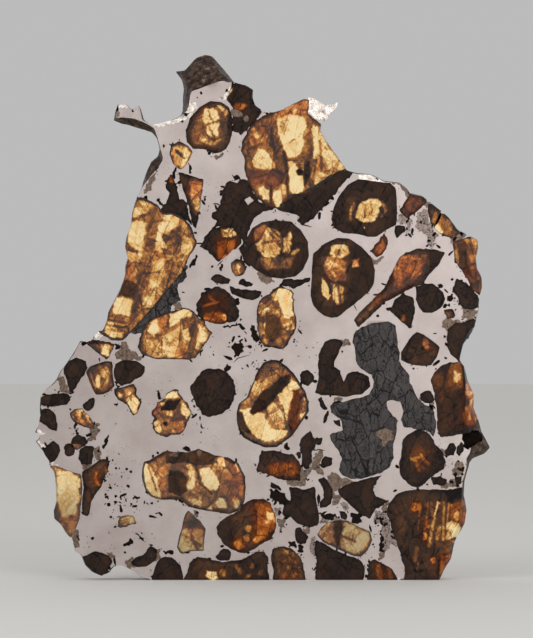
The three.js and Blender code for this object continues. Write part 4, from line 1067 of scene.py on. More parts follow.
def turned_place(material, place, tilt, size):
    """The place turned in the plane by the tilt and divided by a size in millimetres along each axis."""
    return add_node(material, "Mapping", {"Vector": place, "Rotation": (0.0, tilt, 0.0), "Scale": size},
                    vector_type="TEXTURE").outputs[0]


def faded(material, value, full, none):
    """One where the value is up to the full one, falling to zero at the other."""
    return add_node(material, "MapRange", {0: value, 1: full, 2: none, 3: 1.0, 4: 0.0}).outputs[0]


def ridge(material, place, detail, full, none):
    """One on a crack and zero beside it: cracks run where a noise is 0.5, and fade by its distance."""
    wave = add_node(material, "TexNoise", {"Vector": place, "Scale": 1.0, "Detail": detail}).outputs["Fac"]
    away = add_node(material, "Math", {0: wave, 1: 0.5}, operation="SUBTRACT").outputs[0]
    away = add_node(material, "Math", {0: away}, operation="ABSOLUTE").outputs[0]
    return faded(material, away, full, none)


def cells(material, place, full, none):
    """Random value of each Voronoi cell, and one on the cells' borders, fading away from them."""
    pane = add_node(material, "TexVoronoi", {"Vector": place, "Scale": 1.0}).outputs["Color"]
    edge = add_node(material, "TexVoronoi", {"Vector": place, "Scale": 1.0}, feature="DISTANCE_TO_EDGE")
    return pane, faded(material, edge.outputs["Distance"], full, none)


crack_squeeze = 0.02  # share of the slice's thickness that the olivine's pattern sees


def olivine(name, stops, clear, roughness, room_range):
    """Cracks, shards and mottling shift the stored light, and a ramp turns it to colour."""
    material, output = new_material(name)
    place = in_millimetres(material, crack_squeeze)
    bent = bent_place(material, place, 0.5, 2.0, 0.4)
    patchy = add_node(material, "TexNoise", {"Vector": place, "Scale": 0.3, "Detail": 2.0}).outputs["Fac"]
    patchy = add_node(material, "MapRange", {0: patchy, 1: 0.35, 2: 0.6, 3: 0.45, 4: 1.0}).outputs[0]
    lines, panes = [], []
    # Cells: tilt, size in mm, and the weights of a cell's tone and of its dark border.
    for tilt, size, pane_weight, line_weight in (
            (0.42, (3.3, 1.0, 7.0), 0.5, -0.44), (-0.65, (2.0, 1.0, 4.2), 0.4, -0.34),
            (1.2, (1.0, 1.0, 2.6), 0.24, -0.2)):
        pane, edge = cells(material, turned_place(material, bent, tilt, size), 0.0, 0.05)
        lines.append((edge, 0.1, line_weight))
        panes.append((pane, 0.5, pane_weight))
    # Long cracks: tilt, size in mm, and weight.
    for tilt, size, weight in ((0.35, (1.3, 1.0, 8.0), -0.4), (-0.8, (1.1, 1.0, 7.0), -0.34)):
        crack = ridge(material, turned_place(material, bent, tilt, size), 2.5, 0.0, 0.02)
        lines.append((crack, 0.12, weight))
    mottle = add_node(material, "TexNoise", {"Vector": place, "Scale": 0.8, "Detail": 6.0, "Roughness": 0.65})
    panes.append((mottle.outputs["Fac"], 0.5, 0.5))
    light = add_node(material, "Attribute", attribute_name="light").outputs["Fac"]
    # Cells and cracks are fainter in bright windows, and a dark place has little room to change.
    calm = add_node(material, "MapRange", {0: light, 1: 0.75, 2: 0.95, 3: 1.0, 4: 0.35}).outputs[0]
    shown = add_node(material, "Math", {0: weighted_sum(material, panes), 1: calm}, operation="MULTIPLY")
    bright = add_node(material, "MapRange", {0: light, 1: 0.8, 2: 0.95, 3: 1.0, 4: 0.45}).outputs[0]
    patchy = add_node(material, "Math", {0: patchy, 1: bright}, operation="MULTIPLY").outputs[0]
    drawn = add_node(material, "Math", {0: weighted_sum(material, lines), 1: patchy}, operation="MULTIPLY")
    total = add_node(material, "Math", {0: shown.outputs[0], 1: drawn.outputs[0]}, operation="ADD").outputs[0]
    least, most = room_range
    room = add_node(material, "MapRange", {0: light, 1: 0.0, 2: 0.6, 3: least, 4: most}).outputs[0]
    level = add_node(material, "Math", {0: total, 1: room, 2: light}, operation="MULTIPLY_ADD").outputs[0]
    plain = add_node(material, "ValToRGB", {0: level}, stops).outputs[0]
    rusty = add_node(material, "ValToRGB", {0: level}, rusty_stops).outputs[0]
    stored = add_node(material, "Attribute", attribute_name="rust").outputs["Fac"]
    spread = add_node(material, "TexNoise", {
        "Vector": place, "Scale": 0.55, "Detail": 6.0, "Roughness": 0.75}).outputs["Fac"]
    spread = add_node(material, "MapRange", {0: spread, 1: 0.54, 2: 0.62, 3: 0.0, 4: 0.7}).outputs[0]
    share = add_node(material, "Math", {0: stored, 1: spread}, operation="ADD", use_clamp=True).outputs[0]
    colour = add_node(material, "Mix", {0: share, 6: plain, 7: rusty}, data_type="RGBA").outputs[2]
    bump = add_node(material, "Bump", {"Height": mottle.outputs["Fac"], "Distance": 0.00006, "Strength": 0.4})
    broken = add_node(material, "Attribute", attribute_name="broken").outputs["Fac"]
    gloss = add_node(material, "MapRange", {0: broken, 1: 0.0, 2: 1.0, 3: roughness, 4: 0.5}).outputs[0]
    surface = add_node(material, "BsdfPrincipled", {
        "Base Color": colour, "Roughness": gloss, "IOR": 1.67, "Transmission Weight": clear,
        "Specular IOR Level": 0.15 if clear else 0.1, "Normal": bump.outputs[0]})
    material.node_tree.links.new(surface.outputs[0], output.inputs["Surface"])
    if clear:
        depth = add_node(material, "VolumeAbsorption", {"Color": linear("#f3dca8"), "Density": 80.0})
        material.node_tree.links.new(depth.outputs[0], output.inputs["Volume"])
    return material


rusty_stops = [(0.0, "#160a05"), (0.2, "#44200c"), (0.45, "#8c4210"), (0.7, "#c8782a"), (1.0, "#f2ca88")]
clear_olivine = olivine("polished_clear_olivine", [
    (0.0, "#0d0704"), (0.15, "#26150a"), (0.33, "#502c10"), (0.5, "#8a531d"), (0.66, "#b98135"),
    (0.8, "#d6b26c"), (1.0, "#eadcb4")], 1.0, 0.07, (0.3, 1.0))
# On the opaque grains the pale end of this ramp is painted glow, the light from behind that would shine
# through their windows.
dark_olivine = olivine("polished_dark_olivine", [
    (0.0, "#070505"), (0.1, "#291d17"), (0.2, "#3b281c"), (0.35, "#553722"), (0.5, "#7a4d26"),
    (0.7, "#b27c38"), (1.0, "#ecd8a2")], 0.0, 0.2, (0.05, 0.8))

# %% [markdown]
# The metal is an alloy of iron and nickel, ground flat and polished. It is a little pink and grey, with
# a broad soft gloss. The broken edge is the same metal with a dark brown weathering skin, rough and
# pitted. Where it was torn not long ago it is bright and creased. The pockets are lined with black-brown
# oxide. Schreibersite, a phosphide of iron and nickel, is a taupe metal, and full of pits in places.
# Troilite, an iron sulphide, is a dark bronze-grey metal that cracks easily.

# %% Metals
finest_relief = 0.00005  # metres of bump below which it follows the grain and not the mottling


def metallic(name, cell, stops, metal, roughness, bump_height, speck=0.0, rough_detail=0.6, gloss_level=0.5):
    """A finish with mottled colour, dark specks and a fine grain that also roughens it.

    The cell is the mottling's size in millimetres. The speck is the radius that the dots reach, as a share
    of the distance between them, where a broad noise crowds them.
    """
    material, output = new_material(name)
    place = in_millimetres(material)
    mottle = add_node(material, "TexNoise", {
        "Vector": place, "Scale": 1 / cell, "Detail": 6.0, "Roughness": rough_detail}).outputs["Fac"]
    colour = add_node(material, "ValToRGB", {0: mottle}, stops).outputs[0]
    if speck:
        dots = add_node(material, "TexVoronoi", {"Vector": place, "Scale": 1.6}).outputs["Distance"]
        crowd = add_node(material, "TexNoise", {"Vector": place, "Scale": 0.12, "Detail": 2.0}).outputs["Fac"]
        size = add_node(material, "MapRange", {0: crowd, 1: 0.4, 2: 0.75, 3: 0.02, 4: speck}).outputs[0]
        dots = add_node(material, "Math", {0: dots, 1: size}, operation="LESS_THAN").outputs[0]
        colour = add_node(material, "Mix", {0: dots, 6: colour, 7: linear("#2a1f1a")},
                          data_type="RGBA").outputs[2]
    grain = add_node(material, "TexNoise", {"Vector": place, "Scale": 3.0, "Detail": 4.0}).outputs["Fac"]
    gloss = add_node(material, "MapRange", {
        0: grain, 1: 0.3, 2: 0.7, 3: roughness * 0.85, 4: roughness * 1.15})
    height = mottle if bump_height > finest_relief else grain
    bump = add_node(material, "Bump", {"Height": height, "Distance": bump_height, "Strength": 1.0})
    surface = add_node(material, "BsdfPrincipled", {
        "Base Color": colour, "Metallic": metal, "Roughness": gloss.outputs[0],
        "Specular IOR Level": gloss_level, "Normal": bump.outputs[0]})
    material.node_tree.links.new(surface.outputs[0], output.inputs["Surface"])
    return material


nickel_iron = metallic("polished_nickel_iron", 9.0, [
    (0.3, "#ab9e9a"), (0.7, "#bdb2ae")], 1.0, 0.42, 0.000004, 0.16)
broken_rim = metallic("weathered_broken_metal", 1.4, [
    (0.3, "#120c09"), (0.45, "#2e2019"), (0.58, "#584539"), (0.72, "#8f7e71")], 0.3, 0.6, 0.0002, 0, 0.7, 0.2)
lining = metallic("black_oxide_lining", 0.7, [(0.3, "#0c0806"), (0.7, "#22160f")], 0.0, 0.8, 0.0001,
                  gloss_level=0.1)
stained_wall = metallic("stained_crystal_wall", 1.6, [
    (0.3, "#6b3d18"), (0.5, "#9c662e"), (0.72, "#c4945a")], 0.0, 0.6, 0.0001, gloss_level=0.2)
schreibersite = metallic("polished_schreibersite", 0.6, [
    (0.3, "#3f3026"), (0.45, "#66554a"), (0.65, "#7f6d60")], 0.8, 0.4, 0.00001, 0.22)
torn_metal = metallic("torn_bright_metal", 1.1, [
    (0.34, "#8a7d75"), (0.46, "#cfc4bb"), (0.62, "#f2e9e0")], 0.85, 0.4, 0.00004)
speckled_schreibersite = metallic("pitted_schreibersite", 0.45, [
    (0.4, "#1c1512"), (0.46, "#7c6c66"), (0.62, "#978882")], 0.85, 0.4, 0.00001, 0.3, 0.75)


def cracked_sulphide():
    """Troilite: charcoal with bronze in it, and black where the mesh says that a crack runs."""
    material, output = new_material("polished_troilite")
    place = in_millimetres(material)
    mottle = add_node(material, "TexNoise", {
        "Vector": place, "Scale": 0.35, "Detail": 7.0, "Roughness": 0.75})
    bent = bent_place(material, place, 0.9, 3.0, 1.1)
    level = [(mottle.outputs["Fac"], 0.5, 0.5), (0.5, 0.0, 1.0)]
    # Three sets of fine cracks: tilt, size in mm, and width as a share of the noise. Then a net of cells.
    for tilt, size, width in ((0.1, (1.6, 1.0, 5.0), 0.014), (-0.7, (1.4, 1.0, 3.4), 0.012),
                              (1.3, (1.2, 1.0, 3.0), 0.01)):
        crack = ridge(material, turned_place(material, place, tilt, size), 3.0, 0.3 * width, width)
        level.append((crack, 0.0, -0.45))
    pane, edge = cells(material, turned_place(material, bent, 0.12, (2.4, 1.0, 4.6)), 0.01, 0.05)
    level += [(edge, 0.0, -0.45), (pane, 0.5, 0.12)]
    plain = add_node(material, "ValToRGB", {0: weighted_sum(material, level)}, [
        (0.1, "#0d0b0b"), (0.36, "#332f2f"), (0.5, "#433e3e"), (0.75, "#57504e")]).outputs[0]
    crack = add_node(material, "Attribute", attribute_name="crack").outputs["Fac"]
    colour = add_node(material, "Mix", {0: crack, 6: plain, 7: linear("#0b0908")}, data_type="RGBA")
    surface = add_node(material, "BsdfPrincipled", {
        "Base Color": colour.outputs[2], "Metallic": 0.7, "Roughness": 0.36})
    material.node_tree.links.new(surface.outputs[0], output.inputs["Surface"])
    return material


troilite = cracked_sulphide()
print("materials", [material.name for material in bpy.data.materials])

# %% [markdown]
# The large crystals: one mesh for each solid. Its end faces carry the stored light and rust, and so do
# its walls, from the same function of the place in the plane.

# %% The large crystals
pockets = bpy.data.collections.new("pockets")
front_rings = []  # where the crystals' walls meet the polished face
sharp_angle = 35  # degrees between two faces from which their edge stays sharp
picked_levels = (0.0, 0.4, 0.75, 1.0)  # shares of a picked body's depth that have a ring
picked_fewest = 18  # points of a picked ring at least
picked_easing = 0.1  # mm over which a picked outline's corners are rounded
picked_rim_band = 0.25  # mm from the slab's rim within which a picked ring follows the rim
picked_depth_share = 0.5  # share of the depth that a picked outline's ripple sees
picked_cell, picked_seed, picked_mean = 0.7, 11, 0.6  # mm of the ripple's cell, its seed, and its mean
clear_narrowing = 0.03  # share by which a picked clear crystal shrinks towards its floor
shallow_narrowing = 0.3  # the same for a dark one whose floor is above the shallow floor
deep_narrowing = 0.12  # and for a dark one that goes deeper
shallow_floor = 3.0  # mm behind the slab's middle
clear_picked_ripple = 0.3  # mm of ripple on a picked clear crystal's outline
dark_picked_ripple = 0.5  # mm of it on a picked dark one
plain_fill_step = 1.5 * fill_step  # for the faces of dark crystals without marks


def finish_mesh(mesh, angle=sharp_angle):
    """Smooth shading except across edges sharper than the angle in degrees."""
    mesh.shade_smooth()
    mesh.set_sharp_from_angle(angle=np.radians(angle))


def place_piece(piece, slot, *nodes):
    """Puts a piece in the scene on the one body and hides the solids that it stands for. Its slot is not
    used.
    """
    bpy.context.scene.collection.objects.link(piece)
    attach(piece, "root")
    if nodes:
        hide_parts(*nodes)


lining_finish = 2  # the place of the black lining in the list of finishes


def add_cutter(name, rings, depths, material):
    """A body to cut away, with the metal's finishes in their order, its own last, and lined all over."""
    points, faces = loft(rings, depths)
    cutter = new_object(name + "_cutter", points, faces, [nickel_iron, broken_rim, lining, material])
    cutter.data.polygons.foreach_set("material_index", [lining_finish] * len(cutter.data.polygons))
    return cutter


def against_clock(outline):
    """A picked outline in millimetres, turned to run against the clock."""
    ring = picked(outline)
    return ring if area_of(ring) > 0 else ring[::-1]


def gather(bodies):
    """Many bodies as one list of points and one of faces, counted on from body to body."""
    starts = np.concatenate([[0], np.cumsum([len(points) for points, _ in bodies])[:-1]])
    faces = [[corner + int(start) for corner in face]
             for start, (_, faces) in zip(starts, bodies) for face in faces]
    return np.vstack([points for points, _ in bodies]), faces


def cut(body, cutters, operation, name):
    """A new mesh: the body with a collection of cutters taken out of it, or kept where they meet."""
    bpy.context.scene.collection.objects.link(body)
    change = body.modifiers.new("cut", "BOOLEAN")
    change.operation = operation
    change.operand_type = "COLLECTION"
    change.collection = cutters
    change.solver = "MANIFOLD"
    mesh = bpy.data.meshes.new_from_object(body.evaluated_get(bpy.context.evaluated_depsgraph_get()))
    mesh.name = name
    body.modifiers.clear()
    bpy.context.scene.collection.objects.unlink(body)
    return mesh


def within_rim(ring, rim):
    """The ring with each stretch outside the slab's rim replaced by the rim between the same two places."""
    outside = ~is_inside(ring, rim)
    start = int(np.argmin(outside))
    ring, outside = np.roll(ring, -start, axis=0), np.roll(outside, -start)
    turns = np.flatnonzero(np.diff(np.append(outside, False).astype(int))) + 1
    for leave, enter in zip(turns[::2], turns[1::2]):
        ends = ring[[leave - 1, enter % len(ring)]]
        first, last = np.linalg.norm(ends[:, None] - rim[None], axis=2).argmin(axis=1)
        gap = (last - first + len(rim) // 2) % len(rim) - len(rim) // 2
        steps = np.round(np.linspace(0, gap, enter - leave + 2)[1:-1]).astype(int)
        ring[leave:enter] = rim[(first + steps) % len(rim)]
    return ring


def picked_rings(outline, floor_depth, narrowing, ripple_reach):
    """Rings of a picked crystal, kept within the slab, that shrink towards its floor."""
    rings, depths, on_rim = [], [], []
    plain = against_clock(outline)
    base = softened(evened(plain, max(picked_fewest, int(length_of(plain) / ring_step))), picked_easing)
    middle = base.mean(axis=0)
    for level in picked_levels:
        depth = front_depth + (floor_depth - front_depth) * level
        ring = middle + (base - middle) * (1 - narrowing * level)
        places = np.insert(ring, 1, picked_depth_share * depth, axis=1)
        ripple = ripple_reach * (cloud(places, picked_cell, picked_seed) - picked_mean)
        ring = ring + outward(ring) * ripple[:, None]
        rim = worn_slab_ring(depth)
        ring = within_rim(ring, rim)
        at_rim = distance_to(ring, rim) < picked_rim_band
        ring[:, 1] = np.maximum(ring[:, 1], 0)
        rings.append(untangled(ring))
        depths.append(depth)
        on_rim.append(at_rim)
    return rings, depths, on_rim


def face_finishes(faces, light, on_rim, see_through):
    """Finish of each face: 0 clear, 1 dark where the stored light is low, 2 on a wall that meets metal."""
    if not see_through:
        return np.ones(len(faces), int)
    finishes = np.where(light[np.array(faces)].mean(axis=1) < opaque_level, 1, 0)
    buried = np.concatenate([np.tile(~at_rim, 2) for at_rim in on_rim[:-1]])
    finishes[:len(buried)][buried] = 2
    return finishes


def build_crystals(names, see_through):
    """One piece for each crystal, and its pocket's cutter.

    A crystal whose outline was picked again is cut back where it runs into the pockets that are there.
    """
    total = 0
    for name in names:
        if name in finer:
            floor_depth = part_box("olivine_" + name)[1].y * metre
            dark_narrowing = shallow_narrowing if floor_depth < shallow_floor else deep_narrowing
            narrowing, ripple = ((clear_narrowing, clear_picked_ripple) if see_through else
                                 (dark_narrowing, dark_picked_ripple))
            rings, depths, on_rim = picked_rings(finer[name], floor_depth, narrowing, ripple)
        else:
            rings, depths, on_rim = crystal_rings("olivine_" + name, *(
                (clear_ripple, clear_lean) if see_through else (ragged_ripple,)))
        points, faces = loft(rings, depths, fill_step if name in tones else plain_fill_step)
        points[:, 1] *= 1.0 if see_through else dark_depth_share
        body = new_object(name + "_body", points, faces, [clear_olivine, dark_olivine, stained_wall])
        light, rusty = stains(name, points[:, [0, 2]], rings[0])
        body.data.polygons.foreach_set("material_index", face_finishes(faces, light, on_rim, see_through))
        add_values(body.data, "light", light)
        add_values(body.data, "rust", rusty)
        broken = np.concatenate(on_rim)
        add_values(body.data, "broken", np.pad(broken, (0, len(points) - len(broken))))
        if name in finer:
            body = bpy.data.objects.new(name, cut(body, pockets, "DIFFERENCE", name + "_crystal"))
            largest_part(body.data)
        body.name = name + "_crystal"
        finish_mesh(body.data)
        place_piece(body, "olivine_clear" if name in tones else "olivine_dark", "olivine_" + name)
        pockets.objects.link(add_cutter(name, *pocket_rings(rings, depths, on_rim), lining))
        front_rings.append(rings[0])
        total += len(faces)
    print("crystals", len(names), "faces", total)


def largest_part(mesh):
    """Deletes all but the largest connected part: each point takes its neighbours' lowest label."""
    ends = np.empty(len(mesh.edges) * 2, int)
    mesh.edges.foreach_get("vertices", ends)
    ends = ends.reshape(-1, 2)
    labels = np.arange(len(mesh.vertices))
    while True:
        lowest = labels[ends].min(axis=1)
        spread = labels.copy()
        np.minimum.at(spread, ends[:, 0], lowest)
        np.minimum.at(spread, ends[:, 1], lowest)
        spread = spread[spread]
        if (spread == labels).all():
            break
        labels = spread
    keep = np.bincount(labels).argmax()
    form = bmesh.new()
    form.from_mesh(mesh)
    loose = [point for point, label in zip(form.verts, labels) if label != keep]
    bmesh.ops.delete(form, geom=loose, context="VERTS")
    form.to_mesh(mesh)
    form.free()
    return len(loose)


# Outlines picked more closely than the solids have them.
finer = {
    "great_top": [
        (249, 128), (257, 120), (266, 115), (273, 111), (284, 105), (294, 99), (303, 95), (309, 95),
        (309, 106), (308, 113), (314, 118), (320, 123), (328, 124), (332, 136), (340, 148), (352, 165),
        (345, 171), (338, 172), (328, 180), (318, 187), (308, 193), (296, 195), (289, 198), (282, 208),
        (276, 208.5), (266, 205), (257, 198), (251, 188), (247, 178), (244, 168), (245, 160), (241.5, 151),
        (242, 142), (246, 135)],
    "great_left": [
        (135, 198), (145, 198), (157, 205), (163, 212.5), (173, 212.5), (183, 217.5), (190, 225),
        (197, 243), (190, 255), (182, 273), (170, 287), (157, 303), (145, 317), (130, 333), (123, 340),
        (112, 340.5), (100, 333), (101, 316), (112, 290), (118, 277), (119, 262), (119, 247), (123, 220)],
    "gold_hexagon_left": [
        (146, 324), (150, 320), (157, 316.5), (163, 314), (169, 312), (176, 310), (183, 308), (190, 309),
        (195, 313), (199, 318), (204, 321), (207, 328), (212, 333), (207, 341), (203, 347), (199, 353),
        (195, 358), (188, 359.5), (171, 359), (153, 358.5), (142, 354), (138, 347), (140, 338), (143, 330)],
    "fractured_centre": [
        (257, 314), (258, 305), (261, 299), (266, 296), (270, 294), (272, 290), (276, 288), (281, 286),
        (286, 288), (291, 290), (294, 294), (292, 297), (295, 300), (293, 304), (294, 312), (296, 318),
        (296.5, 327), (294, 333), (290, 339), (287, 345), (283, 349), (278, 349), (271, 347), (265, 347),
        (261, 343), (259, 337), (258, 330), (257, 322)],
    "red_brown_centre_left": [
        (205, 237), (208, 233), (213, 229), (219, 227), (222, 226), (229, 226), (235, 230), (239, 233),
        (241, 238), (242, 243), (239, 247), (235, 248.5), (230, 252), (224, 257), (219, 261.5), (216, 260),
        (212, 255), (206, 250), (199, 247), (203, 242)],
    "brown_hexagon_centre": [
        (196, 309), (197, 303), (200, 298), (202, 292.5), (208, 289.5), (214, 287), (220, 287), (226, 290),
        (230, 295), (234, 298), (236, 304), (239, 312), (238, 318), (235, 321.5), (228, 322.5),
        (221, 323.5), (215, 324), (208, 321), (203, 320), (198, 316)],
    "brown_grain_left": [
        (164.5, 398), (166, 394), (170, 391.5), (175, 389.5), (179, 390), (178, 392), (181, 396),
        (184, 401), (187, 403), (190, 409), (191.5, 413), (189.5, 417), (189, 420), (186, 425), (184, 430),
        (180.5, 434.5), (172, 434.5), (167, 437), (162, 436), (158, 434), (155, 432), (153, 428),
        (153, 421), (155, 418), (152, 415), (152, 411), (156, 407), (157, 402), (160, 401.5), (162, 400)],
    "red_lens": [
        (405, 253), (417, 249), (432, 249), (445, 252.5), (438, 265), (430, 273), (422, 285), (413, 287),
        (408, 290), (393, 298), (383, 303), (375, 312), (358, 327.5), (354, 320), (360, 312), (373, 300),
        (385, 287), (392, 272), (398, 260)],
    "red_grain_upper_right": [
        (400, 210), (405, 202.5), (411, 192.5), (421.7, 193), (427.5, 201), (423, 206), (416, 212),
        (407.5, 218), (403, 215)],
    "amber_flank_upper_right": [
        (440, 213), (450, 214), (460, 226), (461, 232), (457, 235), (450, 237.5), (440, 234), (434, 228)],
    "gold_flank_right": [
        (453, 242), (467, 237), (482, 234), (484, 257), (486, 273), (488, 297), (482, 297), (473, 290),
        (467, 278), (460, 268), (455, 260)],
    "brown_lozenge": [
        (262, 450), (260, 455), (257, 466), (256.5, 470), (258, 472), (268, 474), (278, 478), (285, 480.5),
        (300, 481), (300.5, 472), (301, 466), (298, 460), (294, 455), (285, 453), (274, 451), (266, 450.5)],
    "dark_round_centre": [
        (189.5, 388.5), (193, 397), (197, 406), (201, 411), (203, 415), (210, 416.5), (217, 415),
        (223, 413), (230, 407), (233, 402), (234, 395), (235, 391), (234, 383), (231, 376), (225, 371),
        (219, 369), (210, 368.5), (203, 371), (197, 377)],
    "dark_heptagon_right": [
        (415, 287), (423, 283), (433, 284), (443, 292), (445, 298), (442, 307), (432, 313), (423, 312),
        (417, 303)],
    "dark_flank_upper_right": [
        (457, 279), (467, 283), (478, 297), (482, 303), (473, 310), (463, 308), (457, 297), (452.5, 290)],
    "dark_kite_right": [
        (390, 310), (395, 300), (403, 293), (413, 298), (415, 313), (410, 328), (400, 320)],
    "dark_shard_lower_centre": [
        (310, 431), (305, 435), (300, 440), (299.5, 450), (302, 455), (302, 465), (305, 469), (308, 469),
        (310, 464), (313, 461), (311, 459), (312, 452), (315, 446), (316, 440), (313, 436)],
    "red_shard_top_left": [
        (178, 172), (184, 173.5), (190, 176), (197, 178), (203, 179), (203, 184), (201, 196), (200, 205),
        (199, 212), (198, 222), (196, 228.5), (193, 226), (191, 217), (189, 207), (187, 200), (184, 191),
        (181, 182)],
    "dark_mass_left": [
        (226, 183), (230, 181), (234, 182), (237, 184), (240, 180), (246, 179.5), (250, 181), (253, 192),
        (258, 200), (266, 206), (276, 208), (270, 210), (263, 211.5), (257, 216), (252, 221), (250, 227),
        (247, 236), (245, 246), (247, 258), (250, 266), (246, 264), (243, 257), (240, 251), (238, 248),
        (243, 243), (241, 236), (236, 231), (229, 227), (222, 225.5), (217, 227), (211, 229.5), (208, 232),
        (213, 228), (216, 224), (217, 221), (213, 218.5), (211, 216), (212, 213), (216, 211), (219, 207),
        (221, 200), (222, 195), (219, 192), (221, 190), (223, 191), (225, 186)],
    "dark_strip_top": [
        (346, 168), (350, 170), (352, 174.5), (350, 177.5), (346, 180), (341, 186), (338, 190), (336, 195),
        (333, 196), (328, 201), (322, 209), (316, 215), (311, 220.5), (306, 222.5), (303, 225), (300, 223),
        (297, 220), (299, 217), (296, 215), (288, 212.5), (280, 210.5), (276, 209.5), (280, 205),
        (284, 200), (291, 194), (303, 192), (312, 187), (320, 181), (331, 174)],
    "brown_shard_top_left": [
        (170, 174.5), (173, 175.5), (174, 180), (175, 184), (177, 188), (178, 194), (180, 199.5),
        (184, 200), (187, 203), (188, 209), (189, 216), (191, 222), (195, 229), (190, 223), (186, 220),
        (178, 216), (172, 214), (166, 214), (161, 210), (163, 205), (166, 204), (168, 198), (169.5, 194),
        (167, 190), (165, 186), (168, 179)],
    "dark_crest": [
        (232, 84), (236, 83), (241, 84), (247, 85), (252, 89), (254.5, 90), (253, 97), (253, 103),
        (256, 106), (259, 109), (262, 112), (257, 119), (254, 124), (250, 127), (246, 130), (243, 134),
        (240, 135), (238, 133), (234, 132), (233, 128), (233, 120), (232.5, 108), (229, 103), (226, 100),
        (229, 96), (231, 90), (232, 86)]}
troilite_band = [
    (183, 263), (188, 266), (186, 271), (187, 277), (183, 282.5), (178, 284), (177, 290), (179, 297),
    (180.5, 301), (176, 303), (171, 305), (171, 311), (165, 316), (157, 319), (150, 323), (146, 328),
    (141, 333), (135, 334), (130, 331), (136, 322), (146, 312), (156, 300), (164, 290), (173, 278),
    (178, 270)]
all_names = [node.removeprefix("olivine_") for node in frame["nodes"] if node.startswith("olivine_")]
build_crystals([name for name in all_names if name in tones and name not in stained_grains_with_painted_glow], True)

# %% [markdown]
# A few islets lie inside the dark crystals: lumps of schreibersite and a flake of bright metal. Each is a
# shallow plate, level with the polish, and its pocket is cut from the crystal that holds it. At the top,
# a torn horn of bright metal stands out beyond the crystals.

# %% Islets and the horn
islet_depth = 1.1  # mm
islet_narrowing = 0.2  # share by which an islet shrinks towards its floor
islet_ripple = 0.25  # mm
islet_fill_step = 0.5  # mm between points of its faces
islets = {
    "schreibersite": [
        [(231, 110), (234, 108.5), (238, 110), (242, 113), (243, 116), (240, 117), (234, 116.5), (231, 114)],
        [(243.5, 117), (247, 115), (249.5, 118), (248, 121.5), (244.5, 122)],
        [(377, 431), (385, 428), (393, 431), (391, 434), (395, 436), (393, 440), (388, 441), (385, 447),
         (381, 445), (382, 440), (378, 438), (375, 434)]],
    "bright_metal": [[(244, 200), (250, 196.5), (254, 200), (248, 205.5)]]}
for kind, material in (("schreibersite", schreibersite), ("bright_metal", nickel_iron)):
    bodies = []
    for outline in islets[kind]:
        rings, depths, on_rim = picked_rings(
            outline, front_depth + islet_depth, islet_narrowing, islet_ripple)
        bodies.append(loft(rings, depths, islet_fill_step))
        pockets.objects.link(add_cutter("islet", *pocket_rings(rings, depths, on_rim), lining))
    islet = new_object(kind + "_islets", *gather(bodies), [material])
    finish_mesh(islet.data)
    place_piece(islet, "nickel_iron")

horn = [
    (308, 97), (312, 98), (318, 101), (325, 105.5), (333, 105), (338, 102), (337, 108), (330, 113),
    (329, 117), (325, 121), (321, 121), (314, 117), (308, 112)]
horn_points = 60
horn_easing = 0.08  # mm over which its corners are rounded
horn_layers = ((0.3, 0.8, 17),)  # mm, cell in mm and seed of the noise on its outline
horn_mean = 0.12  # mm taken off the noise
horn_narrowing = 0.1  # share by which the horn shrinks towards its back
ring = ragged(softened(evened(against_clock(horn), horn_points), horn_easing), horn_layers, horn_mean)
rear_ring = (1 - horn_narrowing) * ring + horn_narrowing * ring.mean(axis=0)
horn = new_object("torn_metal_horn", *loft([ring, rear_ring], [
    dark_depth_share * front_depth, dark_depth_share * back_depth]), [torn_metal])
finish_mesh(horn.data)
place_piece(horn, "nickel_iron")

# %% The dark crystals
build_crystals([name for name in all_names if name not in tones or name in stained_grains_with_painted_glow], False)

# %% [markdown]
# Troilite has no glow and no rust, but it is crossed by a net of cracks. The net is the border between
# the two nearest of many scattered seeds. It is cut as shallow grooves and coloured black.

# %% Troilite
bend_reach, bend_cell = 0.45, 1.1  # mm by which the net's cracks wander, and mm of that noise's cell
net_cell = 5.5  # mm between the cracks of the net
net_width = 0.34  # mm
net_seed = 31
net_stretch = np.array([1.0, 0.7])  # the net's cells are longer upwards
net_strength = 1.4  # above one, so that the cracks are black over some of their width
fading_cell, fading_seed = 3.0, 37  # of the noise that leaves parts of the net out
fading_gain, fading_offset = 2.4, 0.5
groove_depth = 0.06  # mm
groove_angle = 60  # degrees from which an edge in a groove stays sharp
sulphide_narrowing = 0.3  # share by which the picked band shrinks towards its floor
sulphide_ripple = 0.5  # mm
sulphide_fill_step = 0.24  # mm between points of its faces, fine enough for the grooves


def crack_net(places, cell, width, seed):
    """One on a crack, falling to zero beside it: how much nearer the nearest seed is than the next one."""
    random = np.random.default_rng(seed)
    low, high = places.min(axis=0) - cell, places.max(axis=0) + cell
    steps = np.ceil((high - low) / cell).astype(int)
    grid = np.stack(np.meshgrid(np.arange(steps[0]), np.arange(steps[1])), axis=-1).reshape(-1, 2)
    seeds = low + (grid + random.random(grid.shape)) * cell
    bent = places + bend_reach * drift(places, bend_cell, seed)
    gaps = np.linalg.norm(bent[:, None] - seeds[None], axis=2)
    nearest = np.partition(gaps, 1, axis=1)
    return np.clip(1 - (nearest[:, 1] - nearest[:, 0]) / width, 0, 1)


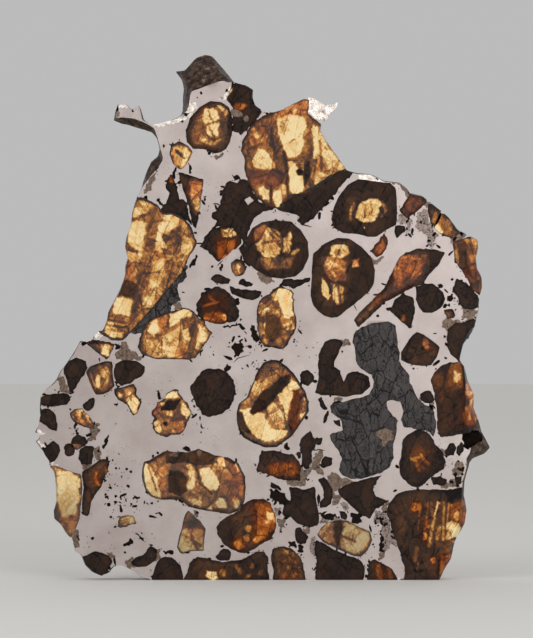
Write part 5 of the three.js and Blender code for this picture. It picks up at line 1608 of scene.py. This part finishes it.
for node in ("troilite_mass", "troilite_band_left"):
    if node == "troilite_band_left":
        rings, depths, on_rim = picked_rings(
            troilite_band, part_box(node)[1].y * metre, sulphide_narrowing, sulphide_ripple)
    else:
        rings, depths, on_rim = crystal_rings(node, ragged_ripple)
    points, faces = loft(rings, depths, sulphide_fill_step)
    places = points[:, [0, 2]]
    crack = crack_net(places * net_stretch, net_cell, net_width, net_seed)
    fading = blend(fading_gain * cloud(places, fading_cell, fading_seed) - fading_offset)
    crack = blend(net_strength * crack * fading)
    for face_depth, side in ((depths[0], 1), (depths[-1], -1)):
        at_face = np.abs(points[:, 1] - face_depth) < 1e-6
        points[at_face, 1] += side * groove_depth * crack[at_face] ** 2
    piece = new_object(node + "_body", points, faces, [troilite])
    add_values(piece.data, "crack", crack)
    piece = bpy.data.objects.new(node + "_cracked", cut(piece, pockets, "DIFFERENCE", node + "_cracked"))
    largest_part(piece.data)
    finish_mesh(piece.data, groove_angle)
    place_piece(piece, "troilite", node)
    pockets.objects.link(add_cutter(node, *pocket_rings(rings, depths, on_rim), lining))
    print(node, "faces", len(faces))

# %% [markdown]
# Between the large crystals lie many small ones: fragments of the same olivine, dark or amber. Their
# outlines are picked. Each narrows towards its floor, or goes right through where it is amber.
# They are cut back where they would run into a large crystal's pocket.

# %% The small crystals
small_clear = {
    "amber_wedge_left": [
        (84, 341), (92, 339.5), (104, 341), (115, 344), (112, 350), (109, 357), (106, 359), (99, 354),
        (92, 348)],
    "amber_gold_left": [
        (117, 527), (118, 521), (121, 517), (127, 515.5), (133, 516), (136, 523), (130, 525), (124, 527)],
    "dark_orange_left": [
        (71, 443), (73, 438), (77, 434), (80, 435), (85, 437), (88, 441), (87, 444), (82, 447), (77, 450),
        (72, 447)],
    "red_upper_right": [
        (384, 233), (388, 240), (388, 245), (382, 254), (377, 257), (370, 251), (379, 241)],
    "olive_upper_right": [
        (428, 204), (434, 203), (440, 210), (441, 216), (438, 222), (435, 226), (431, 223), (429, 216)],
    "brown_right": [
        (444, 310), (453, 309.5), (456, 316), (452, 318.5), (447, 318), (445, 314)]}
small_dark = [
    [(83, 404), (88, 400), (94, 398), (95, 403), (93, 408), (88, 411), (84, 409), (82, 406)],
    [(64, 450), (65, 444), (70, 443), (73, 446), (75, 449), (74, 455), (70, 456.5), (65, 455)],
    [(79, 452), (81, 449), (86, 446), (92, 446), (94, 448), (93, 455), (92, 464), (87, 465), (81, 464),
        (79, 458)],
    [(131, 562), (136, 558), (142, 556), (146, 551), (150, 546), (154, 548), (156, 553), (156, 559),
        (152, 563), (146, 567), (140, 567), (133, 565)],
    [(318, 480), (324, 477), (328, 481), (332, 489), (333, 496), (331, 503), (327, 507), (320, 508),
        (319, 503), (324, 498), (324, 491), (321, 484)],
    [(322, 459), (325, 456.5), (332, 458), (332.5, 463), (330, 466), (324, 468), (320.5, 466)],
    [(300, 376), (302, 372), (307, 370), (311, 372), (314, 377), (313, 382), (308, 386), (303, 384),
        (300, 380)],
    [(395, 226), (400, 225), (405, 227), (403, 232), (397, 238), (395, 232)],
    [(420, 394), (429, 390), (433, 395), (434, 400), (431, 404), (425, 403), (420, 399)],
    [(211, 279), (215, 274.5), (220, 274), (226, 277), (230, 280), (229, 284), (222, 284), (216, 282.5)],
    [(230, 286), (237, 289), (252, 290), (262, 291), (258, 298), (252, 300), (242, 298), (236, 296),
        (232, 294)],
    [(239, 281), (243, 279), (250, 282.5), (254, 284), (252, 286.5), (244, 286.5), (238.5, 284)],
    [(283, 279), (300, 280), (311, 277), (310, 281), (300, 285), (294, 289), (288, 286), (280, 285)],
    [(216, 556), (220, 552), (223, 548), (228, 549), (231, 552), (231, 557), (228, 561), (217, 560)],
    [(446, 450), (450, 443), (454, 443), (456, 448), (454, 455), (448, 456), (445, 453)],
    [(457.5, 446), (461, 442), (464, 445), (463, 452), (459, 456), (456.5, 453)],
    [(339, 511), (345, 511), (347, 517), (346, 520), (341, 519)],
    [(295, 529), (300, 528), (305, 533), (308, 537), (305, 543), (300, 545), (296, 540)],
    [(271, 482), (279, 486), (281, 490), (273, 489), (270.5, 486)],
    [(316, 437), (322, 438), (321, 445), (318, 445), (315, 441)],
    [(297, 453), (300, 452), (301, 458), (298, 459)],
    [(318, 399), (321, 397), (325, 404), (327, 409), (324, 410), (320, 406)],
    [(322, 424), (324, 416), (328, 411), (329, 415), (326, 422)],
    [(333, 420), (340, 420), (341, 427), (336, 424)],
    [(431, 478), (440, 476), (447, 480), (445, 485), (433, 485)],
    [(455, 477), (461, 476), (462, 483), (456, 485)]]
marks["amber_wedge_left"] = [area(0.9, [(100, 346), (107, 348), (109, 356), (101, 354)]),
                             area(0.12, [(86, 340), (112, 341), (113, 345), (90, 344)])]
marks["dark_orange_left"] = [area(0.5, [(72, 445), (81, 444), (81, 450), (73, 450)])]
marks["red_upper_right"] = [rust(0.9, [(366, 230), (392, 230), (392, 260), (366, 260)])]
tones.update({"amber_wedge_left": (0.5, 0.2, 3), "amber_gold_left": (0.68, 0.3, 2.5),
              "dark_orange_left": (0.1, 0.05, 3), "red_upper_right": (0.36, 0.14, 4),
              "olive_upper_right": (0.34, 0.14, 4), "brown_right": (0.3, 0.12, 3)})


small_floor = 1.6  # mm of depth that the smallest dark grain has
small_floor_growth = 0.3  # and how much is added for each mm across
small_narrowing = {"clear": 0.05, "dark": 0.16}  # share by which a grain shrinks towards its floor
small_ripple = 0.45  # mm
small_fill_step = 0.3  # mm between points of its faces
small_cutters = []
for kind, outlines, slot in (("clear", small_clear, "olivine_clear"),
                             ("dark", dict(enumerate(small_dark)), "olivine_dark")):
    bodies, lights, rusts, finishes = [], [], [], []
    see_through = kind == "clear"
    for name, outline in outlines.items():
        ring = against_clock(outline)
        inner_floor = front_depth + small_floor + small_floor_growth * np.sqrt(area_of(ring))
        floor_depth = back_depth if see_through else inner_floor
        rings, depths, on_rim = picked_rings(outline, floor_depth, small_narrowing[kind], small_ripple)
        body = loft(rings, depths, small_fill_step)
        light, rusty = stains(name, body[0][:, [0, 2]], rings[0])
        bodies.append(body)
        lights.append(light)
        rusts.append(rusty)
        finishes.append(face_finishes(body[1], light, on_rim, see_through))
        small_cutters.append(add_cutter("small", *pocket_rings(rings, depths, on_rim), lining))
    grains = new_object("small_" + kind, *gather(bodies), [clear_olivine, dark_olivine, stained_wall])
    grains.data.polygons.foreach_set("material_index", np.concatenate(finishes))
    add_values(grains.data, "light", np.concatenate(lights))
    add_values(grains.data, "rust", np.concatenate(rusts))
    mesh = cut(grains, pockets, "DIFFERENCE", "small_" + kind + "_crystals")
    finish_mesh(mesh)
    place_piece(bpy.data.objects.new("small_" + kind + "_crystals", mesh), slot)
    print("small", kind, "crystals", len(bodies), "faces", len(mesh.polygons))
for cutter in small_cutters:
    pockets.objects.link(cutter)

# %% [markdown]
# The metal is the whole slab with every pocket taken out of it at once. The Manifold solver does this
# in about a second, and it keeps each face's material: polished faces, the broken rim and the lining
# of the pockets. Crumbs of metal that the pockets cut loose are deleted.

# %% The metal
slab = new_object("slab", slab_points, slab_faces, [nickel_iron, broken_rim, lining, lining])
wall_count = 2 * rim_counts.sum() * (depth_steps - 1)
slab.data.polygons.foreach_set("material_index", (np.arange(len(slab_faces)) < wall_count).astype(int))
network = bpy.data.objects.new("network", cut(slab, pockets, "DIFFERENCE", "network"))

# %% [markdown]
# Patches are let into the metal, level with the polish, and run through the slab: each is the metal where
# it meets a patch body. Taupe and speckled schreibersite fills gaps beside the crystals, and torn bright
# metal lies along the rim. Splinters, pits, cracks and crumbs of oxide are shallow cuts with a black floor.

# %% Patches in the metal
taupe_patches = [
    [(391, 180), (400, 179), (407, 186), (412, 194), (406, 198), (402, 188), (400, 184), (392, 184)],
    [(424, 200), (432, 202), (441, 210), (438, 213), (430, 209), (424, 205)],
    [(150, 178), (158, 170), (150, 190), (142, 196)],
    [(122, 343), (126, 341), (128, 346), (131, 352), (137, 353), (142, 358), (140, 360), (128, 360),
        (119, 359), (115, 355), (119, 350)],
    [(56, 378), (62, 377), (66, 381), (68, 390), (71, 393), (66, 393), (60, 391), (59, 386)],
    [(94, 450), (98, 447), (101, 449), (102, 455), (99, 459), (95, 458)],
    [(81, 462), (92, 463), (92, 469), (88, 471), (82, 469)],
    [(88, 440), (91, 426), (98, 424), (99, 432), (95, 441)],
    [(172, 304), (179, 302), (181, 308), (175, 311)],
    [(258, 274), (264, 271), (271, 275), (275, 281), (268, 285), (260, 282)],
    [(341, 340), (349, 339.5), (350, 345), (343, 346)], [(333, 397), (342, 396.5), (343, 400), (335, 401)],
    [(300, 459), (302, 468), (306, 470), (312, 465), (316, 452), (322, 451), (324, 456), (321, 460),
        (321, 468), (325, 471), (324, 476), (320, 475), (315, 470), (311, 471), (306, 480), (306, 487),
        (300, 487), (287, 484), (286, 480), (300, 480)],
    [(327, 476), (333, 473), (341, 477), (349, 480), (353, 482), (345, 486), (338, 489), (334, 492),
        (341, 498), (338, 503), (332, 506), (333, 498)],
    [(417, 395), (421, 397), (420, 402), (424, 406), (419, 404)],
    [(425, 409), (430, 404), (433, 408), (428, 413)],
    [(453, 471), (457, 462), (463, 461), (463, 475), (459, 477), (452, 475)],
    [(441, 487), (449, 482), (453, 476), (458, 487), (450, 488)],
    [(429, 402), (433, 400), (434, 408), (430, 408)], [(441, 449), (447, 450), (446, 456), (441, 455)],
    [(462, 308), (472, 306), (478, 312), (472, 320), (462, 319)],
    [(443, 320), (460, 319), (463, 325), (450, 331), (442, 328)],
    [(449, 238), (455, 234), (461, 230), (466, 234), (463, 239), (457, 241), (452, 243)],
    [(71, 531), (78, 530), (80, 546), (74, 549)], [(107, 553), (113, 551), (115, 557), (109, 560)],
    [(125, 561), (132, 558), (135, 566), (128, 571)], [(154, 549), (160, 548), (160, 559), (156, 561)],
    [(192, 510), (197, 509), (197, 516), (193, 517)], [(277, 520), (286, 518), (285, 528), (280, 530)],
    [(303, 529), (309, 527), (309, 533), (304, 534)], [(378, 552), (385, 551), (383, 560), (379, 559)],
    [(209, 153), (213, 156.5), (219, 156), (223, 153), (221, 157), (216, 159), (211, 158)],
    [(368, 256), (376, 259), (384, 256), (380, 262), (372, 266)],
    [(380, 508), (388, 500), (388, 511), (383, 512)]]
speckled_patches = [
    [(399, 216), (404, 215), (407, 220), (406, 225), (400, 225), (397, 222)],
    [(418, 213), (424, 208), (429, 211), (428, 217), (430, 222), (435, 232), (438, 236), (434, 240),
        (432, 247), (429, 248), (427, 236), (419, 230), (415, 226), (417, 221)],
    [(407, 222), (413, 218), (412, 224), (409, 231), (405, 236)],
    [(375, 510), (381, 512), (387, 512), (388, 520), (393, 532), (398, 545), (391, 545), (386, 550),
        (383, 552), (384, 548), (382, 540), (381, 532), (383, 524), (375, 522), (373, 520)],
    [(320, 523), (322, 517), (338, 518), (343, 521), (330, 521)],
    [(340, 503), (346, 502), (350, 510), (344, 509)],
    [(311, 537), (315, 538), (315, 556), (312, 556), (310, 545)],
    [(273, 506), (280, 507), (281, 516), (276, 516)], [(112, 103), (120, 103), (119, 118), (113, 118)]]
torn_patches = [
    [(150, 121), (165, 121), (180, 116), (192, 112), (196, 115), (182, 121), (165, 125), (152, 125)],
    [(181, 114), (183, 101), (190, 100), (199, 106), (193, 111), (186, 115)],
    [(352, 169), (358, 167), (366, 170), (375, 172), (384, 178), (393, 183), (384, 184), (372, 181),
        (362, 179)],
    [(94, 334), (98, 330), (103, 334), (98, 340)], [(46, 466), (52, 462), (57, 466), (52, 470)],
    [(219, 99), (226, 92), (232, 86), (230, 93), (224, 100)], [(32, 434), (38, 430), (45, 433), (38, 437)],
    [(31, 440), (40, 441), (46, 449), (40, 451)], [(148, 160), (156, 152), (158, 158), (149, 172)],
    [(112, 102), (124, 101), (132, 104), (131, 109), (122, 107), (116, 113)]]
patch_step = 0.25  # mm between points of a patch's ring
patch_fewest = 16  # points of it at least
patch_layers = ((0.8, 0.6, 13), (0.4, 0.25, 14))  # mm, cell in mm and seed of each noise on its outline
patch_mean = 0.55  # mm taken off the noise
patches = {}
for kind, outlines, material in (("taupe", taupe_patches, schreibersite), ("torn", torn_patches, torn_metal),
                                 ("speckled", speckled_patches, speckled_schreibersite)):
    bodies = []
    for outline in outlines:
        ring = against_clock(outline)
        ring = softened(evened(ring, max(patch_fewest, int(length_of(ring) / patch_step))), picked_easing)
        ring = ragged(ring, patch_layers, patch_mean)
        bodies.append(loft([ring, ring], [front_depth - over_reach, back_depth + over_reach]))
    patches[kind] = bpy.data.collections.new(kind + "_patches")
    patches[kind].objects.link(new_object(kind + "_patch_bodies", *gather(bodies), [material]))

# %% Pits, splinters and cracks
pit_outlines = [
    [(269, 490), (277, 489), (284, 494), (291, 501), (287, 506), (278, 503), (271, 498)],
    [(282, 503), (292, 500), (292, 515), (286, 520), (283, 512)],
    [(289, 541), (297, 540), (296, 547), (289, 548)],
    [(464, 322), (470, 325), (475, 334), (470, 340), (466, 332)],
    [(298, 545), (303, 544), (303, 552), (298, 551)],
    [(223, 327), (228, 325), (238, 323.5), (242, 324), (245, 329), (242, 330), (239, 326), (230, 327.5)],
    [(232, 347), (234, 344), (234, 341), (238, 342), (241, 341), (243, 343), (245, 345), (244, 350),
        (245, 353), (241, 354), (238, 356), (235, 354), (233, 350)],
    [(251, 324), (254, 326), (257, 333), (259, 342), (256, 343), (252, 336), (250, 330)],
    [(225, 366), (228, 364), (231, 367), (228, 370), (227, 373), (223, 370)],
    [(219, 266), (223, 266), (222, 272), (219, 273)], [(233, 299), (238, 298), (240, 303), (235, 306)],
    [(114, 403), (118, 402), (117, 407), (113, 406)],
    [(109, 434), (110, 438), (107, 443), (104, 449), (102, 451), (103, 445), (106, 438)],
    [(83, 433), (88, 435), (91, 434), (89, 438), (85, 436)],
    [(123, 545), (127, 543), (131, 539), (134, 539), (134, 543), (130, 546), (125, 547)],
    [(117, 516), (120, 517), (119, 519), (116, 518)], [(114, 524), (117, 524), (117, 527), (114, 527)],
    [(181, 447), (191, 446.5), (190, 450), (182, 451)],
    [(380, 533), (383, 536), (384, 545), (383, 552), (380, 552), (379, 545)],
    [(163, 551), (173, 551), (172, 554), (164, 554)], [(350, 513), (362, 512), (361, 523), (352, 524)],
    [(321, 515), (337, 514), (338, 518), (322, 520)], [(188, 163), (190, 163), (192, 172), (190, 173)],
    [(196, 255), (198, 258), (195, 264), (190, 268), (191, 262)],
    [(220, 263), (224, 262), (223, 271), (220, 272)], [(438, 284), (444, 285), (443, 289), (438, 288)],
    [(446, 295), (453, 294), (452, 301), (447, 302)], [(443, 304), (449, 303), (450, 307), (444, 308)],
    [(318, 117), (324, 118), (322, 123), (318, 122)],
    [(154, 171), (158, 161), (162, 158), (159, 167), (156, 171)],
    [(156, 201), (160, 198), (164, 203), (160, 205)], [(213, 229), (216, 228), (215, 235), (213, 234)],
    [(235, 389), (238, 389.5), (237, 391.5), (235, 391)], [(283, 444), (289, 443), (290, 449), (284, 450)],
    [(131, 109), (134, 108.5), (133, 111.5), (131, 111)], [(232, 175), (240, 174), (241, 180), (234, 181)],
    [(114, 344), (120, 342), (121, 348), (116, 350)], [(282, 399), (285, 398), (285, 401), (282, 402)]]
crack_lines = [
    ([(244, 331), (247, 334)], 1.2), ([(233, 363), (238, 358), (250, 355)], 0.9),
    ([(245, 347), (250, 345)], 1.0), ([(353, 303), (357, 311)], 1.0), ([(433, 333.5), (437, 333.5)], 1.4),
    ([(135, 533), (139, 535)], 1.4), ([(138, 535), (142, 538)], 1.2),
    ([(313, 451), (319, 449.5), (325, 450.5)], 1.2), ([(320, 566), (335, 564), (350, 564)], 1.4),
    ([(217, 266), (223, 260)], 1.2), ([(300, 224), (312, 227)], 1.2)]

pit_depth = 0.35  # mm, of which each pit has 0.6 to 1.2 times as much
pit_points = 28
pit_easing = 0.06  # mm over which its corners are rounded
pit_layers = ((0.9, 0.55, 15),)  # mm, cell in mm and seed of the noise on its outline
pit_mean = 0.5  # mm taken off the noise
ribbon_ends = (0.08, 0.92)  # shares of a half turn whose sine gives a crack's width along it


def ribbon(points, width):
    """Outline of a thin crack: its line shifted to both sides, and pointed at its ends."""
    middle = picked(points)
    steps = np.linspace(0, len(middle) - 1, 4 * len(middle))
    way = np.column_stack([np.interp(steps, np.arange(len(middle)), middle[:, axis]) for axis in (0, 1)])
    run = np.gradient(way, axis=0)
    side = np.column_stack([run[:, 1], -run[:, 0]]) / np.linalg.norm(run, axis=1)[:, None]
    half = width / pixels_per_mm / 2 * np.sin(np.pi * np.linspace(*ribbon_ends, len(way)))[:, None]
    return np.vstack([way + side * half, (way - side * half)[::-1]])


crumb_count = 230  # in the open metal, and twice as many beside the crystals
crumb_seed = 43
crumb_points = 6
crumb_crowding = ((1.0, 9.0, 41), (0.5, 2.5, 42))  # weight, cell in mm and seed of each noise
crowding_least = 0.86  # of that noise, for a crumb in the open metal
beside_cell, beside_seed, beside_least = 3.0, 44, 0.5  # the same for those beside crystals
beside_reach = 0.9  # mm beyond the nearest place where they may lie
least_crumb = 0.1  # mm from a crumb's middle to its border, and as much from a crystal's border
crumb_growth = 0.42  # mm that the largest crumbs have more than this
crumb_stretch = 2.2  # how much longer than round the longest are
rear_every = 6  # one pit in so many is on the back face too
# Each cluster has its column, its row, its spread along both, and its count of crumbs.
speck_clusters = [
    (112, 480, 10, 14, 60), (128, 505, 14, 9, 40), (75, 430, 3, 4, 16), (248, 346, 9, 5, 22),
    (175, 185, 5, 8, 20), (210, 205, 8, 5, 20), (160, 400, 3, 12, 16), (198, 420, 4, 9, 14),
    (255, 365, 8, 3, 14), (275, 497, 6, 5, 18), (285, 512, 4, 6, 16), (380, 525, 5, 12, 34),
    (422, 222, 7, 8, 16), (433, 243, 4, 5, 14), (200, 520, 4, 10, 12), (452, 300, 10, 8, 18),
    (410, 232, 4, 4, 12), (150, 545, 14, 8, 20), (200, 352, 30, 6, 22), (345, 515, 12, 4, 20),
    (140, 200, 3, 12, 10), (300, 345, 14, 10, 20), (335, 395, 8, 8, 14), (310, 470, 8, 6, 18),
    (457, 470, 6, 6, 16)]


def crumb_places(count, random):
    """Places for crumbs: where a noise is high in the metal, in the clusters, and beside the crystals."""
    low, high = edge_rings[1].min(axis=0), edge_rings[1].max(axis=0)
    places = low + random.random((6 * count, 2)) * (high - low)
    places = places[layered(places, crumb_crowding) > crowding_least][:count]
    for column, row, across, upward, number in speck_clusters:
        spread = random.standard_normal((number, 2)) * np.array([across, upward])
        places = np.vstack([places, picked([(column, row) + step for step in spread])])
    beside = np.vstack(front_rings)
    away = np.vstack([outward(ring) for ring in front_rings])
    chosen = random.permutation(len(beside))
    chosen = chosen[cloud(beside[chosen], beside_cell, beside_seed) > beside_least][:2 * count]
    gap = least_crumb + beside_reach * random.random((len(chosen), 1)) ** 2
    return np.vstack([places, beside[chosen] + away[chosen] * gap])


def scattered_specks(count, seed):
    """Small crumbs, each a ragged little ring that is stretched and turned at random."""
    random = np.random.default_rng(seed)
    turn = np.linspace(0, 2 * np.pi, crumb_points, endpoint=False)
    rings = []
    for place in crumb_places(count, random):
        size = least_crumb + crumb_growth * random.random() ** 3
        stretch = 1 + crumb_stretch * random.random() ** 2
        tilt = np.pi * random.random()
        reach = size * (0.6 + 0.6 * random.random(crumb_points))
        flat = np.column_stack([stretch * reach * np.cos(turn), reach * np.sin(turn)])
        spin = np.array([[np.cos(tilt), np.sin(tilt)], [-np.sin(tilt), np.cos(tilt)]])
        rings.append(place + flat @ spin)
    return rings


pits = bpy.data.collections.new("pits")
pit_rings = [softened(evened(against_clock(outline), pit_points), pit_easing) for outline in pit_outlines]
pit_rings = [ragged(ring, pit_layers, pit_mean) for ring in pit_rings]
pit_rings += [ribbon(points, width) for points, width in crack_lines]
pit_rings += scattered_specks(crumb_count, crumb_seed)
for index, ring in enumerate(pit_rings):
    for face_depth, side in ((front_depth, 1), (back_depth, -1))[:1 + (index % rear_every == 0)]:
        floor_depth = face_depth + side * pit_depth * (0.6 + 0.6 * scatter(index))
        depths = sorted([face_depth - side * over_reach, floor_depth])
        pits.objects.link(add_cutter("pit", [ring, ring], depths, lining))

# The right tip is hollow: an open pocket whose floor lies near the back face.
hollow_points = 40
hollow_layers = ((0.9, 0.9, 18),)  # mm, cell in mm and seed of the noise on its outline
hollow_mean = 0.5  # mm taken off the noise
hollow_floor = back_depth - 1.0  # mm
hollow = softened(evened(against_clock([
    (463, 424), (469, 426), (476, 430), (482, 434), (485, 440), (480, 443), (474, 445), (468, 450),
    (464, 447), (462, 435)]), hollow_points), picked_easing)
hollow = ragged(hollow, hollow_layers, hollow_mean)
pits.objects.link(add_cutter("hollow", [hollow, hollow], [front_depth - over_reach, hollow_floor], lining))
print("patches", len(taupe_patches) + len(speckled_patches) + len(torn_patches), "pits", len(pit_rings))

# %% The metal and its patches
own_finish = 3  # the place in the list of finishes that is a patch's own
bare = network
for kind, bodies in patches.items():
    inlay = bpy.data.objects.new("inlay", cut(network, bodies, "INTERSECT", "inlay"))
    inlay_mesh = cut(inlay, pits, "DIFFERENCE", kind + "_inlay")
    finishes = np.empty(len(inlay_mesh.polygons), int)
    inlay_mesh.polygons.foreach_get("material_index", finishes)
    inlay_mesh.polygons.foreach_set("material_index", np.where(finishes == 0, own_finish, finishes))
    finish_mesh(inlay_mesh)
    inlay_mesh.materials[own_finish] = bodies.objects[0].data.materials[0]
    place_piece(bpy.data.objects.new(kind + "_patches_in_metal", inlay_mesh), "nickel_iron")
    bare = bpy.data.objects.new("bare", cut(bare, bodies, "DIFFERENCE", "bare"))
metal_mesh = cut(bare, pits, "DIFFERENCE", "nickel_iron_network")
print("loose points dropped", largest_part(metal_mesh), "metal faces", len(metal_mesh.polygons))
finish_mesh(metal_mesh)
metal = bpy.data.objects.new("nickel_iron_network", metal_mesh)
place_piece(metal, "nickel_iron", "metal_matrix")

# %% [markdown]
# The stage: a pale floor, a soft light from the front, and a large soft light behind the slice, which
# is what makes the crystals glow. The camera looks straight at the polished face from one metre.

# %% Floor, light and camera
floor_reach = 3  # metres from the middle to each side
floor_mesh = bpy.data.meshes.new("floor")
floor_mesh.from_pydata([(floor_reach * x, floor_reach * y, 0) for x, y in (
    (-1, -1), (1, -1), (1, 1), (-1, 1))], [], [(0, 1, 2, 3)])
floor = bpy.data.objects.new("floor", floor_mesh)
bpy.context.scene.collection.objects.link(floor)
paper, paper_output = new_material("pale_paper")
paper_surface = add_node(paper, "BsdfPrincipled", {"Base Color": linear("#f7f5f1"), "Roughness": 0.8})
paper.node_tree.links.new(paper_surface.outputs[0], paper_output.inputs["Surface"])
floor_mesh.materials.append(paper)

world = bpy.data.worlds.new("studio")
world.use_nodes = True
world.node_tree.nodes["Background"].inputs["Color"].default_value = linear("#ffffff")
world.node_tree.nodes["Background"].inputs["Strength"].default_value = 0.5
bpy.context.scene.world = world


def add_light(name, place, target, size, power):
    """A square area light at a place, aimed at a target."""
    lamp = bpy.data.lights.new(name, "AREA")
    lamp.size = size
    lamp.energy = power
    light = bpy.data.objects.new(name, lamp)
    light.location = place
    light.rotation_euler = (Vector(target) - Vector(place)).to_track_quat("-Z", "Y").to_euler()
    bpy.context.scene.collection.objects.link(light)
    return light


middle = (0.0, 0.0, 0.06)
add_light("front_softbox", (0.5, -1.1, 0.4), middle, 0.6, 3.8)
add_light("left_softbox", (-0.8, -0.7, 0.5), middle, 0.6, 2.1)
rear_light = add_light("rear_softbox", (0.0, 0.5, 0.12), middle, 0.9, 1.75)
slice_pieces = bpy.data.collections.new("slice_pieces")
for piece in bpy.context.scene.collection.objects:
    if piece.type == "MESH" and piece is not floor:
        slice_pieces.objects.link(piece)
rear_light.light_linking.receiver_collection = slice_pieces

photo_width, photo_height = 533, 638  # pixels
camera_distance = 1.0  # metres
frame_height = photo_height / pixels_per_mm / metre
camera_data = bpy.data.cameras.new("camera")
camera_data.sensor_fit = "VERTICAL"
camera_data.lens = camera_data.sensor_height * camera_distance / frame_height
camera = bpy.data.objects.new("camera", camera_data)
aim_x = (photo_width / 2 - middle_column) / pixels_per_mm / metre
aim_z = (foot_row - photo_height / 2) / pixels_per_mm / metre
camera.location = (aim_x, front_depth / metre - camera_distance, aim_z)
camera.rotation_euler = (np.pi / 2, 0, 0)
bpy.context.scene.collection.objects.link(camera)
bpy.context.scene.camera = camera
bpy.context.scene.view_settings.view_transform = "Standard"
